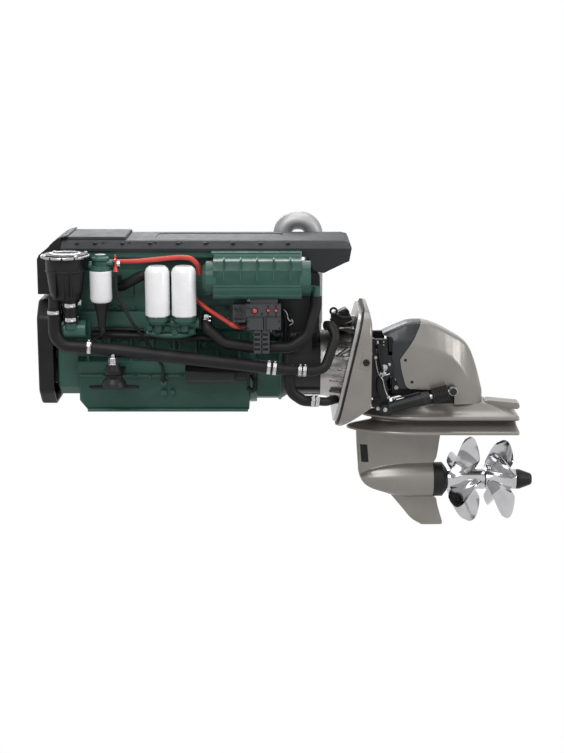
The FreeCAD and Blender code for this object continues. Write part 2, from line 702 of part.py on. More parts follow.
def recess(name):
    """Room in the front of the drive for the fork's crown and the shield's bracket when it tilts up."""
    barrel = rod(name + "_recess_round", ("tilt_x", "-recess_half", 0), STARBOARD, "recess_radius",
                 "2 * recess_half")
    half = box(name + "_recess_box", (-300, 0), (-100, 100), (0, 300))
    half.Placement = Placement(Vector(value("tilt_x"), -100, 0), Rotation(STARBOARD, 21))
    half.setExpression("Placement.Base.x", expr("tilt_x - 300 * cos(21)"))
    half.setExpression("Placement.Base.z", expr("300 * sin(21)"))
    return common(name + "_recess", barrel, half)


def hull(name, stations, shrink=0.0):
    """A ruled skin through upright six-cornered sections: x, low, half low, crease height, half, top, half top."""
    wires = []
    for x, low, half_low, crease, half, top, half_top in stations:
        half_low, half, half_top, top = half_low - shrink, half - shrink, half_top - shrink, top - shrink
        corners = [(-half_low, low), (-half, crease), (-half_top, top), (half_top, top), (half, crease),
                   (half_low, low)]
        points = [Vector(x, y, z) for y, z in corners]
        wires.append(Part.makePolygon(points + points[:1]))
    return shape(name, Part.makeLoft(wires, True, True))


def cowl_stations():
    """Upright sections of the drive's cowl, from its nose to its rounded stern."""
    low = value("cowl_low")
    return [
        (120, low, 74, 96, 74, 124, 50),
        (224, low, 84, 98, 82, 171, 50),
        (280, low, 88, 82, 86, 173, 50),
        (343, low, 90, 62, 87, 155, 46),
        (410, low, 90, 32, 86, 121, 42),
        (458, low, 88, -30, 82, 92, 36),
        (482, low, 82, -60, 74, 58, 30),
        (508, low, 66, -84, 58, -14, 24),
        (530, low, 40, -100, 36, -96, 20),
    ]


def fork_passing(name):
    """The fork as the drive meets it on the way up, for room beside its arms."""
    places = []
    pivot = Vector(value("tilt_x"), 0, 0)
    for angle in (29.6, 31.8, 34, 36.2, 38.2, 39.6):
        for shift in (-1, 1):
            turned = solid_of("steering_fork").copy()
            turned.scale(1.002, pivot)
            turned.rotate(pivot, STARBOARD, angle)
            turned.translate(Vector(0, shift, 0))
            places.append(turned)
    return shape(name, places[0].fuse(places[1:]))


def cowl():
    """The drive's painted hood, and the dark shroud ahead of it, both open shells."""
    wall = value("cowl_wall")
    skin = hull("cowl_skin", cowl_stations())
    core = hull("cowl_core", cowl_stations(), wall)
    shell = cut("cowl_shell", skin, [core])
    side = [
        (280, 190), (280, 174), (198, 26), (219, -66), (239, -91), (412, -98), (416, "cowl_low"),
        (540, "cowl_low"),
        (540, 190),
    ]
    body = common("cowl_body", shell, pad("cowl_side", "XZ", side, -120, 120))
    back = box("cowl_back", (505, 526), (-40, 40), ("cowl_low", -70))
    back = common("cowl_back_fit", back, skin)
    notch = rod("cowl_notch", ("trim_rear_x", -130, "trim_rear_z"), STARBOARD, "trim_pin_radius + 12", 260)
    node("rear_cowl", seated("rear_cowl", cut("cowl_cast", fuse("cowl_joined", [body, back]), [notch]),
                             "upper_housing"))

    front = [
        (132, 122), (132, 126), (224, 180), (278.5, 180), (278.5, 172), (196.5, 26), (217, -66), (236, -90),
        ("housing_front + 22", -90), ("housing_front + 4", 20), ("housing_front + 4", 100), (162, 122),
    ]
    shroud = common("shroud_body", shell, pad("shroud_side", "XZ", front, -120, 120))
    lip = common("shroud_lip", hull("shroud_skin", cowl_stations()),
                 pad("shroud_lip_side", "XZ", [(132, 122), (132, 126), (196, 160), (196, 148), (162, 128)],
                     -120, 120))
    node("front_shroud", seated("front_shroud", cut("shroud_cast", fuse("shroud_joined", [shroud, lip]),
                                                    [recess("shroud"), fork_passing("fork_room")]),
                                 "upper_housing", "rear_cowl"))


def intermediate_housing():
    """Streamlined middle of the drive: a flared deck, a waist and the anti-ventilation plate."""
    low, top, aft = value("plate_low"), value("plate_top"), value("plate_aft")
    deck = Part.makeLoft([plan_wire(value("cowl_low"), 232, 350, aft - 136, 70),
                          plan_wire(top, 52, 300, aft, 116)],
                         True, True)
    edge = Part.makeLoft([plan_wire(top, 52, 300, aft, 116), plan_wire(top - 12, 50, 300, aft, 118)], True,
                         True)
    under = Part.makeLoft([plan_wire(top - 12, 50, 300, aft, 118), plan_wire(top - 28, 96, 300, aft - 6, 62)],
                          True, True)
    flare = Part.makeLoft([plan_wire(top - 28, 96, 300, aft - 6, 62), plan_wire(low + 14, -6, 270, aft, 130)],
                          True, True)
    plate = Part.makeLoft([plan_wire(low + 14, -6, 270, aft, 130), plan_wire(low, -8, 270, aft, 132)], True,
                          True)
    solid = deck.fuse([edge, under, flare, plate]).removeSplitter()
    node("intermediate_housing", shape("intermediate_housing", solid))


def trim_tab():
    """Sloping anode block on the deck's stern."""
    tab = pad("tab_profile", "XZ", [(544, "cowl_low"), (560, -148), (680, -160), (684, -176), (676, -184),
                                    (560, -184)],
              -34, 34)
    seat = shape("tab_seat", NODES["intermediate_housing"].Shape)
    node("trim_tab", cut("trim_tab", tab, [seat]))


def foil_wire(z, nose, tail, half):
    """A streamlined section in plan: a round nose, a fine tail."""
    chord = tail - nose
    port = [Vector(nose + chord * share, half * width, z) for share, width in
            ((0.0, 0.0), (0.03, 0.42), (0.12, 0.76), (0.32, 1.0), (0.62, 0.84), (1.0, 0.10))]
    starboard = [Vector(spot.x, -spot.y, spot.z) for spot in reversed(port)]
    upper = Part.BSplineCurve()
    upper.interpolate(port)
    lower = Part.BSplineCurve()
    lower.interpolate(starboard)
    tail_edge = Part.LineSegment(port[-1], starboard[0])
    return Part.Wire([upper.toShape(), tail_edge.toShape(), lower.toShape()])


def lower_housing():
    """Leg, torpedo and skeg."""
    prop_z, low = value("prop_z"), value("plate_low")
    half = value("leg_half_width")
    leg = Part.makeLoft([foil_wire(low, 33, 378, half), foil_wire(low - 90, 36, 366, half),
                         foil_wire(prop_z + 30, 40, 362, half)], True, False)
    radius = value("torpedo_radius")
    ring_x = value("ring_x")
    spine = [(38, 0), (44, 15), (64, 31), (100, 45), (160, 58), (240, 66), (300, radius), (ring_x, radius)]
    curve = Part.BSplineCurve()
    curve.interpolate([Vector(x, 0, prop_z + y) for x, y in spine])
    profile = Part.Wire([curve.toShape(),
                         Part.LineSegment(Vector(ring_x, 0, prop_z + radius),
                                          Vector(ring_x, 0, prop_z)).toShape(),
                         Part.LineSegment(Vector(ring_x, 0, prop_z), Vector(38, 0, prop_z)).toShape()])
    torpedo = Part.Face(profile).revolve(Vector(0, 0, prop_z), AFT, 360)
    skeg = Part.makeLoft([foil_wire(prop_z - 30, 120, 362, 17), foil_wire(-560, 172, 370, 12),
                          foil_wire(-616, 214, 381, 9), foil_wire(value("skeg_low") + 8, 276, 389, 7),
                          foil_wire(value("skeg_low"), 296, 386, 5)], True, False)
    solid = leg.fuse([torpedo, skeg]).removeSplitter()
    housing = shape("leg_solid", solid)
    grilles = []
    for side in (-1, 1):
        grilles.append(box(f"inlet{side}", (52, 82),
                           ("24" if side > 0 else "-60", "60" if side > 0 else "-24"),
                           (-418, -342)))
    bore = rod("leg_bore", ("ring_x - 150", 0, "prop_z"), AFT, "outer_shaft_radius + running_gap", 160)
    ring_room = rod("leg_ring_room", ("ring_x", 0, "prop_z"), AFT, "ring_radius + 0.6", 90)
    node("lower_housing", cut("lower_housing", housing, grilles + [bore, ring_room]))


def propeller_ring():
    points = [(0, "outer_shaft_radius + running_gap + 6"), (0, "ring_radius - 1"), (1.5, "ring_radius"),
              ("ring_length - 18", "ring_radius"), ("ring_length", "hub_radius + 5"),
              ("ring_length", "outer_shaft_radius + running_gap + 6")]
    node("propeller_ring", revolve("propeller_ring", "XY", points, "H_Axis", ("ring_x", 0, "prop_z")))


def blade_section(radius, chord, thick, pitch_angle, skew, rake, hand):
    """A lens-shaped blade section, flat on the plane that touches a cylinder of its radius."""
    slope = math.radians(pitch_angle)
    turn = math.radians(skew)

    def spot(share, lift):
        along = chord * (share - 0.5)
        x = along * math.sin(slope) + lift * math.cos(slope) + rake
        across = along * math.cos(slope) - lift * math.sin(slope)
        y = across * math.cos(turn) + radius * math.sin(turn)
        return Vector(x, hand * y, radius * math.cos(turn) - across * math.sin(turn))
    edges = []
    for sign in (1, -1):
        points = [spot(share, thick * (sign * width / 2 + 0.45 * (1 - (2 * share - 1) ** 2))) for share,
                  width in
                  ((0.0, 0.0), (0.25, 0.8), (0.5, 1.0), (0.75, 0.8), (1.0, 0.0))]
        if sign < 0:
            points.reverse()
        curve = Part.BSplineCurve()
        curve.interpolate(points)
        edges.append(curve.toShape())
    return Part.Wire(edges)


def propeller(name, start, length, tip_radius, bore, hand, count, first_angle, forward):
    """A hub with blades, each lofted through sections on a helix and copied round."""
    hub_radius = value("hub_radius")
    middle = value(length) / 2 - forward
    tip = value(tip_radius)
    pitch = 3.9 * tip
    sections = []
    root = hub_radius - 19
    for share, chord, thick, skew in ((0.0, 100, 13, -4), (0.16, 132, 11.5, -2), (0.3, 150, 10, 0),
                                      (0.58, 152, 7.5, 6),
                                      (0.80, 134, 5.5, 12), (0.93, 100, 4, 17), (1.0, 52, 3, 20)):
        radius = root + (tip - root - 2) * share
        angle = math.degrees(math.atan(pitch / (2 * math.pi * max(radius, 0.36 * tip))))
        rake = middle + 16 * share
        sections.append(blade_section(radius, chord * tip / 170, thick, angle, skew, rake, hand))
    blade = Part.makeLoft(sections, True, False)
    hub = Part.makeCylinder(hub_radius, value(length), Vector(), AFT)
    solid = hub
    blades = []
    for number in range(count):
        copy = blade.copy()
        copy.rotate(Vector(), AFT, first_angle + 360 / count * number)
        blades.append(copy)
    solid = solid.fuse(blades)
    solid = solid.cut(Part.makeCylinder(value(bore), value(length) + 2, Vector(-1, 0, 0), AFT))
    node(name, shape(name, solid, (start, 0, "prop_z")))


def propellers():
    front_start = "ring_x + ring_length + prop_gap"
    rear_start = front_start + " + front_hub_length + prop_gap"
    propeller("front_propeller", front_start, "front_hub_length", "front_prop_radius", "outer_shaft_radius",
              1, 4, 22, 12)
    propeller("rear_propeller", rear_start, "rear_hub_length", "rear_prop_radius", "inner_shaft_radius", -1,
              4, 35, 8)
    outer = cut("outer_shaft", rod("outer_shaft_bar", ("ring_x - 140", 0, "prop_z"), AFT,
                                   "outer_shaft_radius",
                                   "140 + ring_length + prop_gap + front_hub_length"),
                [rod("outer_shaft_bore", ("ring_x - 141", 0, "prop_z"), AFT,
                     "inner_shaft_radius + running_gap",
                     "150 + ring_length + prop_gap + front_hub_length")])
    node("outer_propeller_shaft", outer)
    node("inner_propeller_shaft", rod("inner_propeller_shaft", ("ring_x - 138", 0, "prop_z"), AFT,
                                      "inner_shaft_radius",
                                      "138 + ring_length + 2 * prop_gap + front_hub_length + rear_hub_length + 10"))
    points = [(0, 0), (0, "hub_radius - 3"), (3, "hub_radius - 1"), (14, "hub_radius - 1"),
              ("cone_length - 6", 24), ("cone_length", 19), ("cone_length", 0)]
    cap = revolve("cone_solid", "XY", points, "H_Axis",
                  (rear_start + " + rear_hub_length + 0.3", 0, "prop_z"))
    seat = rod("cone_seat", (rear_start + " + rear_hub_length", 0, "prop_z"), AFT, "inner_shaft_radius", 10)
    node("propeller_cone", cut("propeller_cone", cap, [seat]))


def engine_block():
    """Crankcase with a side rail, ribs, core plugs and pads for what bolts to it."""
    section = [
        ("-block_half", "pan_top"), ("-block_half", 34), ("-block_half + 18", 52), ("-block_half + 22", 150),
        ("-block_half + 10", 162), ("-block_half + 10", "block_top"), ("block_half - 10", "block_top"),
        ("block_half - 10", 162), ("block_half - 22", 150), ("block_half - 18", 52), ("block_half", 34),
        ("block_half", "pan_top"),
    ]
    pieces = [pad("block_body", "YZ", section, "block_front", "block_back")]
    for side, name in ((-1, "port"), (1, "starboard")):
        for number in range(8):
            x = f"block_front + 36 + {84 * number}"
            low, high = sorted((f"{side} * (block_half - 2)", f"{side} * (block_half - 30)"), key=value)
            pieces.append(box(f"block_rib_{name}{number}", (x, f"{x} + 9"), (low, high),
                              ("pan_top + 6", 150)))
        for number in range(6):
            x = f"block_front + 84 + {100 * number}"
            pieces.append(rod(f"block_plug_{name}{number}", (x, f"{side} * (block_half - 30)", 100),
                              Vector(0, side, 0), 17, 14))
            pieces.append(rod(f"block_bolt_{name}{number}", (x, f"{side} * (block_half - 14)", 208),
                              Vector(0, side, 0), 8, 10))
    pieces.append(box("block_gallery", ("block_front + 20", "block_back - 260"),
                      ("-block_half - 26", "-block_half + 30"),
                      (158, 236)))
    pieces.append(box("block_pump_pad", ("block_front + 4", "block_front + 60"),
                      ("-block_half - 50", "-block_half + 30"),
                      (130, 200)))
    case = pad("timing_case", "YZ", [(-128, -70), (-92, -106), (92, -106), (128, -70), (128, 136),
                                     (96, 168), (-96, 168),
                                     (-128, 136)], "block_front - 82", "block_front + 1")
    pieces.append(fillet("timing_soft", case, 9, lambda middle, run,
                         size: middle.x < value("block_front") - 81))
    pieces.append(rod("block_nose", (-1200, 0, 0), AFT, "crank_nose_radius", "block_front + 1200"))
    node("engine_block", fuse("engine_block", pieces))


def oil_pan():
    side = [("block_front + 4", "pan_top"), ("block_front + 4", -120), ("block_front + 40", "pan_low"),
            ("block_back - 14", "pan_low"), ("block_back - 2", "pan_low + 10"), ("block_back - 2", "pan_top")]
    section = [("-block_half", "pan_top"), ("-block_half + 2", "pan_low"), ("block_half - 2", "pan_low"),
               ("block_half", "pan_top")]
    body = common("pan_body", pad("pan_side", "XZ", side, -180, 180),
                  pad("pan_section", "YZ", section, "block_front", "block_back"))
    soft = fillet("pan_soft", body, 10, lambda middle, run, size: middle.z < value("pan_low") + 1
                  and abs(run.x) > 0.9)
    lip = box("pan_lip", ("block_front + 2", "block_back"), ("-block_half - 9", "block_half + 9"),
              ("pan_top - 9", "pan_top"))
    lip_round = fillet("pan_lip_round", lip, 12, lambda middle, run, size: abs(run.z) > 0.9)
    drain = rod("pan_drain", (-730, "-block_half - 14", -48), STARBOARD, 13, 20)
    node("oil_pan", fuse("oil_pan", [soft, lip_round, drain]))


def cylinder_head():
    pieces = [box("head_body", ("block_front + 18", "block_back - 10"), ("-head_half", "head_half"),
                  ("block_top", 392)),
              box("rocker_body", ("block_front + 30", "block_back - 22"),
                  ("-head_half + 14", "head_half - 14"),
                  (392, "head_top")),
              box("rocker_rim", ("block_front + 10", "cover_joint - 16"), (-178, 178),
                  ("head_top - 6", "cover_low + 5"))]
    for number in range(6):
        x = f"block_front + 62 + {100 * number}"
        for side, name in ((-1, "port"), (1, "starboard")):
            low, high = sorted((f"{side} * (head_half - 4)", f"{side} * (head_half + 12)"), key=value)
            pieces.append(box(f"head_port_{name}{number}", (x, f"{x} + 62"), (low, high), (292, 352)))
    node("cylinder_head", fuse("cylinder_head", pieces))


def flywheel_housing():
    flange = rod("flywheel_flange", ("block_back", 0, 0), AFT, "flywheel_radius + 8", 26)
    case = rod("flywheel_case", ("block_back + 20", 0, 0), AFT, "flywheel_radius - 6",
               "bell_front - block_back - 52")
    rear = rod("flywheel_rear", ("bell_front - 42", 0, 0), AFT, "flywheel_radius", 12)
    top = box("flywheel_top", ("block_back", "block_back + 26"), (-150, 150), (0, "block_top - 4"))
    foot = box("flywheel_foot", ("block_back + 30", "bell_front - 38"), (-150, -90), (-104, 20))
    holes = [rod(f"flywheel_hole{number}", ("bell_front - 43", 132 * math.cos(math.radians(30 * number + 15)),
                                            132 * math.sin(math.radians(30 * number + 15))), AFT, 5, 14)
             for number in range(12)]
    node("flywheel_housing", cut("flywheel_housing",
                                 fuse("flywheel_joined", [flange, case, rear, top, foot]), holes))


def coupling_bell():
    neck = cone("bell_neck", ("bell_front - 30", 0, 0), AFT, "flywheel_radius - 6", "bell_radius", 30)
    case = rod("bell_case", ("bell_front", 0, 0), AFT, "bell_radius", "bell_back - bell_front")
    bore = rod("bell_bore", ("bell_front - 31", 0, 0), AFT, 92, "bell_back - bell_front + 32")
    ribs = [box(f"bell_rib{number}", ("bell_front + 10", "bell_back"), (-4, 4),
                ("bell_radius - 20", "bell_radius + 7"))
            for number in range(8)]
    for number, rib in enumerate(ribs):
        angle = math.radians(45 * number + 22)
        rib.Placement = Placement(Vector(0, -4 * math.cos(angle), -4 * math.sin(angle)) * 0,
                                  Rotation(AFT, 45 * number))
        reach = value("bell_radius") - 20
        rib.setExpression("Placement.Base.y", expr(f"-4 * cos({45 * number}) - (bell_radius - 20) * sin({45 * number})"))
        rib.setExpression("Placement.Base.z", expr(f"-4 * sin({45 * number}) + (bell_radius - 20) * cos({45 * number})"))
    unit = box("unit_case", (-298, -124), (-158, -72), (146, 294))
    unit_soft = fillet("unit_soft", unit, 8, lambda middle, run, size: middle.y < -150 or middle.z > 290)
    unit_arm = box("unit_arm", (-214, -150), (-108, -80), (60, 148))
    node("coupling_bell", cut("coupling_bell",
                              fuse("bell_joined", [neck, case, unit_soft, unit_arm] + ribs), [bore]))


def cover_section(low, wall="0"):
    """Cross-section of the covers: flat on top with long shallow bevels to each side."""
    side = f"cover_half - {wall}"
    top = f"cover_top - {wall}"
    port = [(f"-({side})", low), (f"-({side})", "cover_top - 26 - 0.6 * " + wall),
            (f"-({side}) + 38", f"{top} - 2"),
            (f"-({side}) + 60", top)]
    return port + [(y[1:] if number < 2 else y.replace("-(", "(").replace(") +", ") -"), z)
                   for number, (y, z) in reversed(list(enumerate(port)))]


def top_cover():
    """Long shallow cover over the head, open below."""
    block = pad("cover_block", "YZ", cover_section("cover_low"), "cover_front", "cover_joint")
    inner = pad("cover_inner", "YZ", cover_section("cover_low - 1", "cover_wall"), "cover_front + cover_wall",
                "cover_joint - cover_wall")
    raised = box("cover_raised", ("cover_front - 4", -868), (-132, 132), ("cover_top - 4", "cover_top + 12"))
    raised_soft = fillet("cover_raised_soft", raised, 9, lambda middle, run,
                         size: middle.z > value("cover_top") + 11)
    dent = box("cover_dent", (-760, -262), (-96, 96), ("cover_top - 2.5", "cover_top + 1"))
    dent_soft = fillet("cover_dent_soft", dent, 40, lambda middle, run, size: abs(run.z) > 0.9)
    wells = []
    for number in range(7):
        x = -1052 + 99.6 * number
        wells.append(cone(f"cover_well_near{number}", (x, "-cover_half + 25", "cover_top - 13"), UP, 5, 9, 8))
        wells.append(cone(f"cover_well_far{number}", (x, "cover_half - 25", "cover_top - 13"), UP, 5, 9, 8))
    posts = [rod(f"cover_post{number}", (-980 + 160 * number, 0, "cover_low + 5"), UP, 12,
                 "cover_top - cover_wall + 1 - cover_low - 5") for number in range(4)]
    shell = cut("cover_shell", block, [inner, dent_soft] + wells)
    node("top_cover", fuse("top_cover", [shell, raised_soft] + posts))


def front_grille():
    """Slatted intake at the engine's nose."""
    side = [("cover_front - 4", 519), ("cover_front - 90", 452), ("cover_front - 98", 436),
            ("cover_front - 98", 300),
            ("cover_front - 4", 300)]
    stay = box("grille_stay", ("cover_front - 6", "block_front + 18"), (-110, 110), (330, 386))
    body = fuse("grille_body", [pad("grille_side", "XZ", side, -150, 150), stay])
    slots = []
    for number in range(6):
        slot = box(f"grille_slot{number}", (0, 7), (-132, 132), (-8, 3))
        slot.Placement = Placement(Vector(), Rotation(STARBOARD, -35.5))
        slots.append(put(slot, f"cover_front - 74 + {13.2 * number}", -132, f"{463 + 9.4 * number:.1f}"))
    node("front_grille", cut("front_grille", body, slots))


def aft_cover():
    side = [("cover_joint", 450), ("cover_joint", "cover_top"), (-36, "cover_top"), (-9, 499), (-2, 484),
            (-11, 434), (-30, 426), (-108, 388), (-150, 398), (-168, 450)]
    block = common("aft_block", pad("aft_side", "XZ", side, "-cover_half", "cover_half"),
                   pad("aft_section", "YZ", cover_section("380"), "cover_joint", 0))
    inner = [("cover_joint - 1", 440), ("cover_joint - 1", "cover_top"), (-40, "cover_top"), (-16, 490),
             (-18, 438), (-60, 410), (-108, 380), (-150, 380)]
    hollow = common("aft_hollow", pad("aft_inner", "XZ", inner, "-cover_half + cover_wall",
                                      "cover_half - cover_wall"),
                    pad("aft_inner_section", "YZ", cover_section("370", "cover_wall"), "cover_joint - 1", 0))
    node("aft_cover", cut("aft_cover", block, [hollow]))


def belt_guard():
    """Guard over the belt at the engine's nose, wider to starboard where the alternator sits."""
    outer = [(-160, -84), (-98, -146), (98, -146), (160, -84), (160, 24), (262, 150), (262, 252), (242, 272),
             (-98, 272), (-160, 210)]
    inner = [(-151, -80), (-94, -137), (94, -137), (151, -80), (151, 28), (253, 154), (253, 248), (238, 263),
             (-94, 263), (-151, 206)]
    plate = pad("guard_plate", "YZ", outer, -1218, -1158)
    soft = fillet("guard_soft", plate, 34, lambda middle, run, size: abs(run.x) > 0.9 and middle.y < 100)
    edge = fillet("guard_edge", soft, 12, lambda middle, run, size: middle.x < -1216)
    core = pad("guard_core", "YZ", inner, -1210, -1150)
    core_soft = fillet("guard_core_soft", core, 30, lambda middle, run, size: abs(run.x) > 0.9
                       and middle.y < 100)
    hole = rod("guard_hole", (-1219, 0, 0), AFT, 34, 12)
    slots = [box(f"guard_slot{number}", (-1220, -1212), (-90 + 26 * number, -80 + 26 * number), (70, 210))
             for number in range(8)]
    mounts = [box(f"guard_mount{number}", (-1166, "block_front"), ys, (100, 116))
              for number, ys in enumerate(((-156, -70), (110, 216)))]
    guard = fuse("guard_joined", [cut("guard_shell", edge, [core_soft, hole] + slots)] + mounts)
    node("belt_guard", seated("belt_guard", guard, "engine_block"))


def pulleys():
    def grooved(name, front, radius, bore, length, place):
        points = [(0, bore), (0, radius)]
        pitch = (length - 8) / 6
        points.append((4, radius))
        for number in range(6):
            points.append((4 + pitch * (number + 0.5), f"{radius} - 3"))
            points.append((4 + pitch * (number + 1), radius))
        points += [(length, radius), (length, bore)]
        return revolve(name, "XY", points, "H_Axis", place)
    drum = grooved("crank_drum", 0, 78, "crank_nose_radius + running_gap", 34, (-1196, 0, 0))
    node("crank_pulley", drum)
    wheel = grooved("alternator_drum", 0, 34, "alternator_shaft_radius + running_gap", 30,
                    (-1194, "alternator_y", "alternator_z"))
    node("alternator_pulley", wheel)
    case = rod("alternator_case", (-1100, "alternator_y", "alternator_z"), AFT, 62, 96)
    front = cone("alternator_nose", (-1110, "alternator_y", "alternator_z"), AFT, 40, 62, 10.5)
    shaft = rod("alternator_shaft", (-1198, "alternator_y", "alternator_z"), AFT, "alternator_shaft_radius",
                90)
    slots = []
    for number in range(10):
        slot = box(f"alternator_slot{number}", (-1098, -1076), (-5, 5), (52, 66))
        angle = 36 * number
        slot.Placement = Placement(Vector(), Rotation(AFT, angle))
        slot.setExpression("Placement.Base.y", expr(f"alternator_y - 5 * cos({angle}) - 52 * sin({angle})"))
        slot.setExpression("Placement.Base.z", expr(f"alternator_z - 5 * sin({angle}) + 52 * cos({angle})"))
        slots.append(slot)
    arm = box("alternator_arm", ("block_front + 6", "block_front + 50"),
              ("block_half - 10", "alternator_y - 20"),
              ("alternator_z - 30", "alternator_z + 30"))
    body = cut("alternator_body", fuse("alternator_joined", [case, front]), slots)
    node("alternator", fuse("alternator", [body, shaft, arm]))


def drive_belt():
    """Belt over the crank pulley and the alternator's, run at rest with a hair's clearance."""
    wheels = ((0.0, 0.0, 78.0), (value("alternator_y"), value("alternator_z"), 34.0))

    def loop(grow):
        (ay, az, ar), (by, bz, br) = wheels
        ar, br = ar + grow, br + grow
        span = Vector(0, by - ay, bz - az)
        along = Vector(span).normalize()
        across = Vector(0, -along.z, along.y)
        lean_cos = (ar - br) / span.Length
        lean_sin = math.sqrt(1 - lean_cos ** 2)
        left = along * lean_cos + across * lean_sin
        right = along * lean_cos - across * lean_sin
        first, second = Vector(0, ay, az), Vector(0, by, bz)
        edges = [Part.LineSegment(first + left * ar, second + left * br),
                 Part.Arc(second + left * br, second + along * br, second + right * br),
                 Part.LineSegment(second + right * br, first + right * ar),
                 Part.Arc(first + right * ar, first - along * ar, first + left * ar)]
        return Part.Face(Part.Wire([edge.toShape() for edge in edges])).extrude(Vector(24, 0, 0))
    band_solid = loop(5.0).cut(loop(0.05))
    node("drive_belt", shape("drive_belt", band_solid, (-1191, 0, 0)))


def heat_exchanger():
    """Green cooler casting along the engine's port side."""
    section = [("exchanger_in", "exchanger_low + 12"), ("exchanger_in", "exchanger_high"),
               ("exchanger_in - 44", "exchanger_high"), ("exchanger_in - 58", "exchanger_high - 16"),
               ("exchanger_out + 22", "exchanger_high - 24"), ("exchanger_out", "exchanger_high - 56"),
               ("exchanger_out", "exchanger_low + 15"), ("exchanger_out + 13", "exchanger_low"),
               ("exchanger_in - 12", "exchanger_low")]
    body = pad("exchanger_body", "YZ", section, "exchanger_front + 40", "exchanger_back - 34")
    soft = fillet("exchanger_soft", body, 12, lambda middle, run, size: abs(run.x) > 0.9
                  and middle.y < value("exchanger_out") + 40)
    y, z = "(exchanger_out + exchanger_in) / 2 - 4", "(exchanger_low + exchanger_high) / 2 - 12"
    front = rod("exchanger_front_cap", ("exchanger_front + 12", y, z), AFT, 66, 40)
    nose = cone("exchanger_nose", ("exchanger_front", y, z), AFT, 48, 66, 12.5)
    back = rod("exchanger_back_cap", ("exchanger_back - 42", y, z), AFT, 68, 42)
    ribs = []
    for number in range(5):
        x = f"exchanger_front + 78 + {62 * number}"
        ribs.append(box(f"exchanger_rib{number}", (x, f"{x} + 6"), ("exchanger_out - 3", "exchanger_in - 62"),
                        ("exchanger_low + 70", "exchanger_high - 14")))
    seam = box("exchanger_seam", ("exchanger_front + 44", "exchanger_back - 36"),
               ("exchanger_out - 4", "exchanger_out + 9"),
               ("exchanger_low + 48", "exchanger_low + 55"))
    ledge = box("exchanger_ledge", ("exchanger_front + 30", "exchanger_back - 40"),
                ("exchanger_in - 50", "exchanger_in + 1"),
                ("exchanger_high - 8", "exchanger_high"))
    inner = box("exchanger_bridge", ("exchanger_front + 60", "exchanger_back - 60"),
                ("exchanger_in - 2", "-head_half + 1"),
                ("exchanger_low + 34", "exchanger_high - 30"))
    bosses = [rod(f"exchanger_boss{number}", (f"exchanger_front + {56 + 78 * number}", "exchanger_in - 24",
                                              "exchanger_low - 7"), UP, 8, 14) for number in range(5)]
    outlet = rod("exchanger_outlet", (-139, -250, 308), UP, 17, 38)
    outlet_arm = box("exchanger_outlet_arm", ("exchanger_back - 10", -139), (-262, -238), (330, 350))
    whole = fuse("exchanger_joined", [soft, front, nose, back, seam, ledge, inner, outlet, outlet_arm]
                 + ribs + bosses)
    node("heat_exchanger", seated("heat_exchanger", whole, "cylinder_head"))


def filters():
    base = "oil_filter_low"
    cans = []
    for number in range(2):
        points = [(0, 0), ("oil_filter_radius - 5", 0), ("oil_filter_radius", 4),
                  ("oil_filter_radius", "oil_filter_height - 22"),
                  ("oil_filter_radius - 5", "oil_filter_height - 9"),
                  ("oil_filter_radius - 15", "oil_filter_height"), (0, "oil_filter_height")]
        cans.append(revolve(f"oil_can{number}", "XZ", points, "V_Axis",
                            (f"oil_filter_x + oil_filter_pitch * {number}", "filter_y", base)))
    node("oil_filters", group("oil_filters", cans))
    points = [(0, 0), ("fuel_filter_radius - 12", 0), ("fuel_filter_radius - 4", 5),
              ("fuel_filter_radius", 16),
              ("fuel_filter_radius", "fuel_filter_height - 4"),
              ("fuel_filter_radius - 4", "fuel_filter_height"),
              (0, "fuel_filter_height")]
    node("fuel_filter", revolve("fuel_filter", "XZ", points, "V_Axis",
                                ("fuel_filter_x", "filter_y", "fuel_filter_low")))
    top = "fuel_filter_low + fuel_filter_height"
    pieces = [rod("fuel_head_disc", ("fuel_filter_x", "filter_y", top), UP, "fuel_filter_radius - 2", 16),
              rod("fuel_head_neck", ("fuel_filter_x", "filter_y", f"{top} + 15"), UP, 26, 24),
              rod("fuel_head_knob", ("fuel_filter_x", "filter_y", f"{top} + 38"), UP, 17, 16),
              box("fuel_head_arm", ("fuel_filter_x - 22", "fuel_filter_x + 20"),
                  ("filter_y", "-head_half + 14"),
                  (f"{top}", f"{top} + 14")),
              rod("fuel_head_union", ("fuel_filter_x + 12", "filter_y + 24", f"{top} + 29"), AFT, 10, 44),
              rod("oil_head_tube", ("oil_filter_x - 30", "filter_y + 30", "oil_filter_low - 34"), AFT, 21,
                  "oil_filter_pitch + 84")]
    for number in range(2):
        x = f"oil_filter_x + oil_filter_pitch * {number}"
        pieces.append(rod(f"oil_head_disc{number}", (x, "filter_y", "oil_filter_low - 18"), UP,
                          "oil_filter_radius - 4", 18))
        pieces.append(rod(f"oil_head_boss{number}", (x, "filter_y + 8", "oil_filter_low - 60"), UP, 17, 44))
    pieces.append(box("oil_head_block", ("oil_filter_x - 24", "oil_filter_x + oil_filter_pitch + 40"),
                      ("filter_y + 14", "-block_half - 26"), ("oil_filter_low - 66", "oil_filter_low - 8")))
    pieces.append(box("oil_head_foot", ("oil_filter_x - 20", "oil_filter_x + oil_filter_pitch + 36"),
                      ("-block_half - 40", "-block_half - 26"),
                      ("oil_filter_low - 76", "oil_filter_low - 4")))
    node("filter_brackets", group("filter_brackets", [
        fuse("fuel_bracket", pieces[:5]), fuse("oil_bracket", [fuse("oil_bracket_cups", pieces[5:10]),
                                                               fuse("oil_bracket_base", pieces[10:])])]))


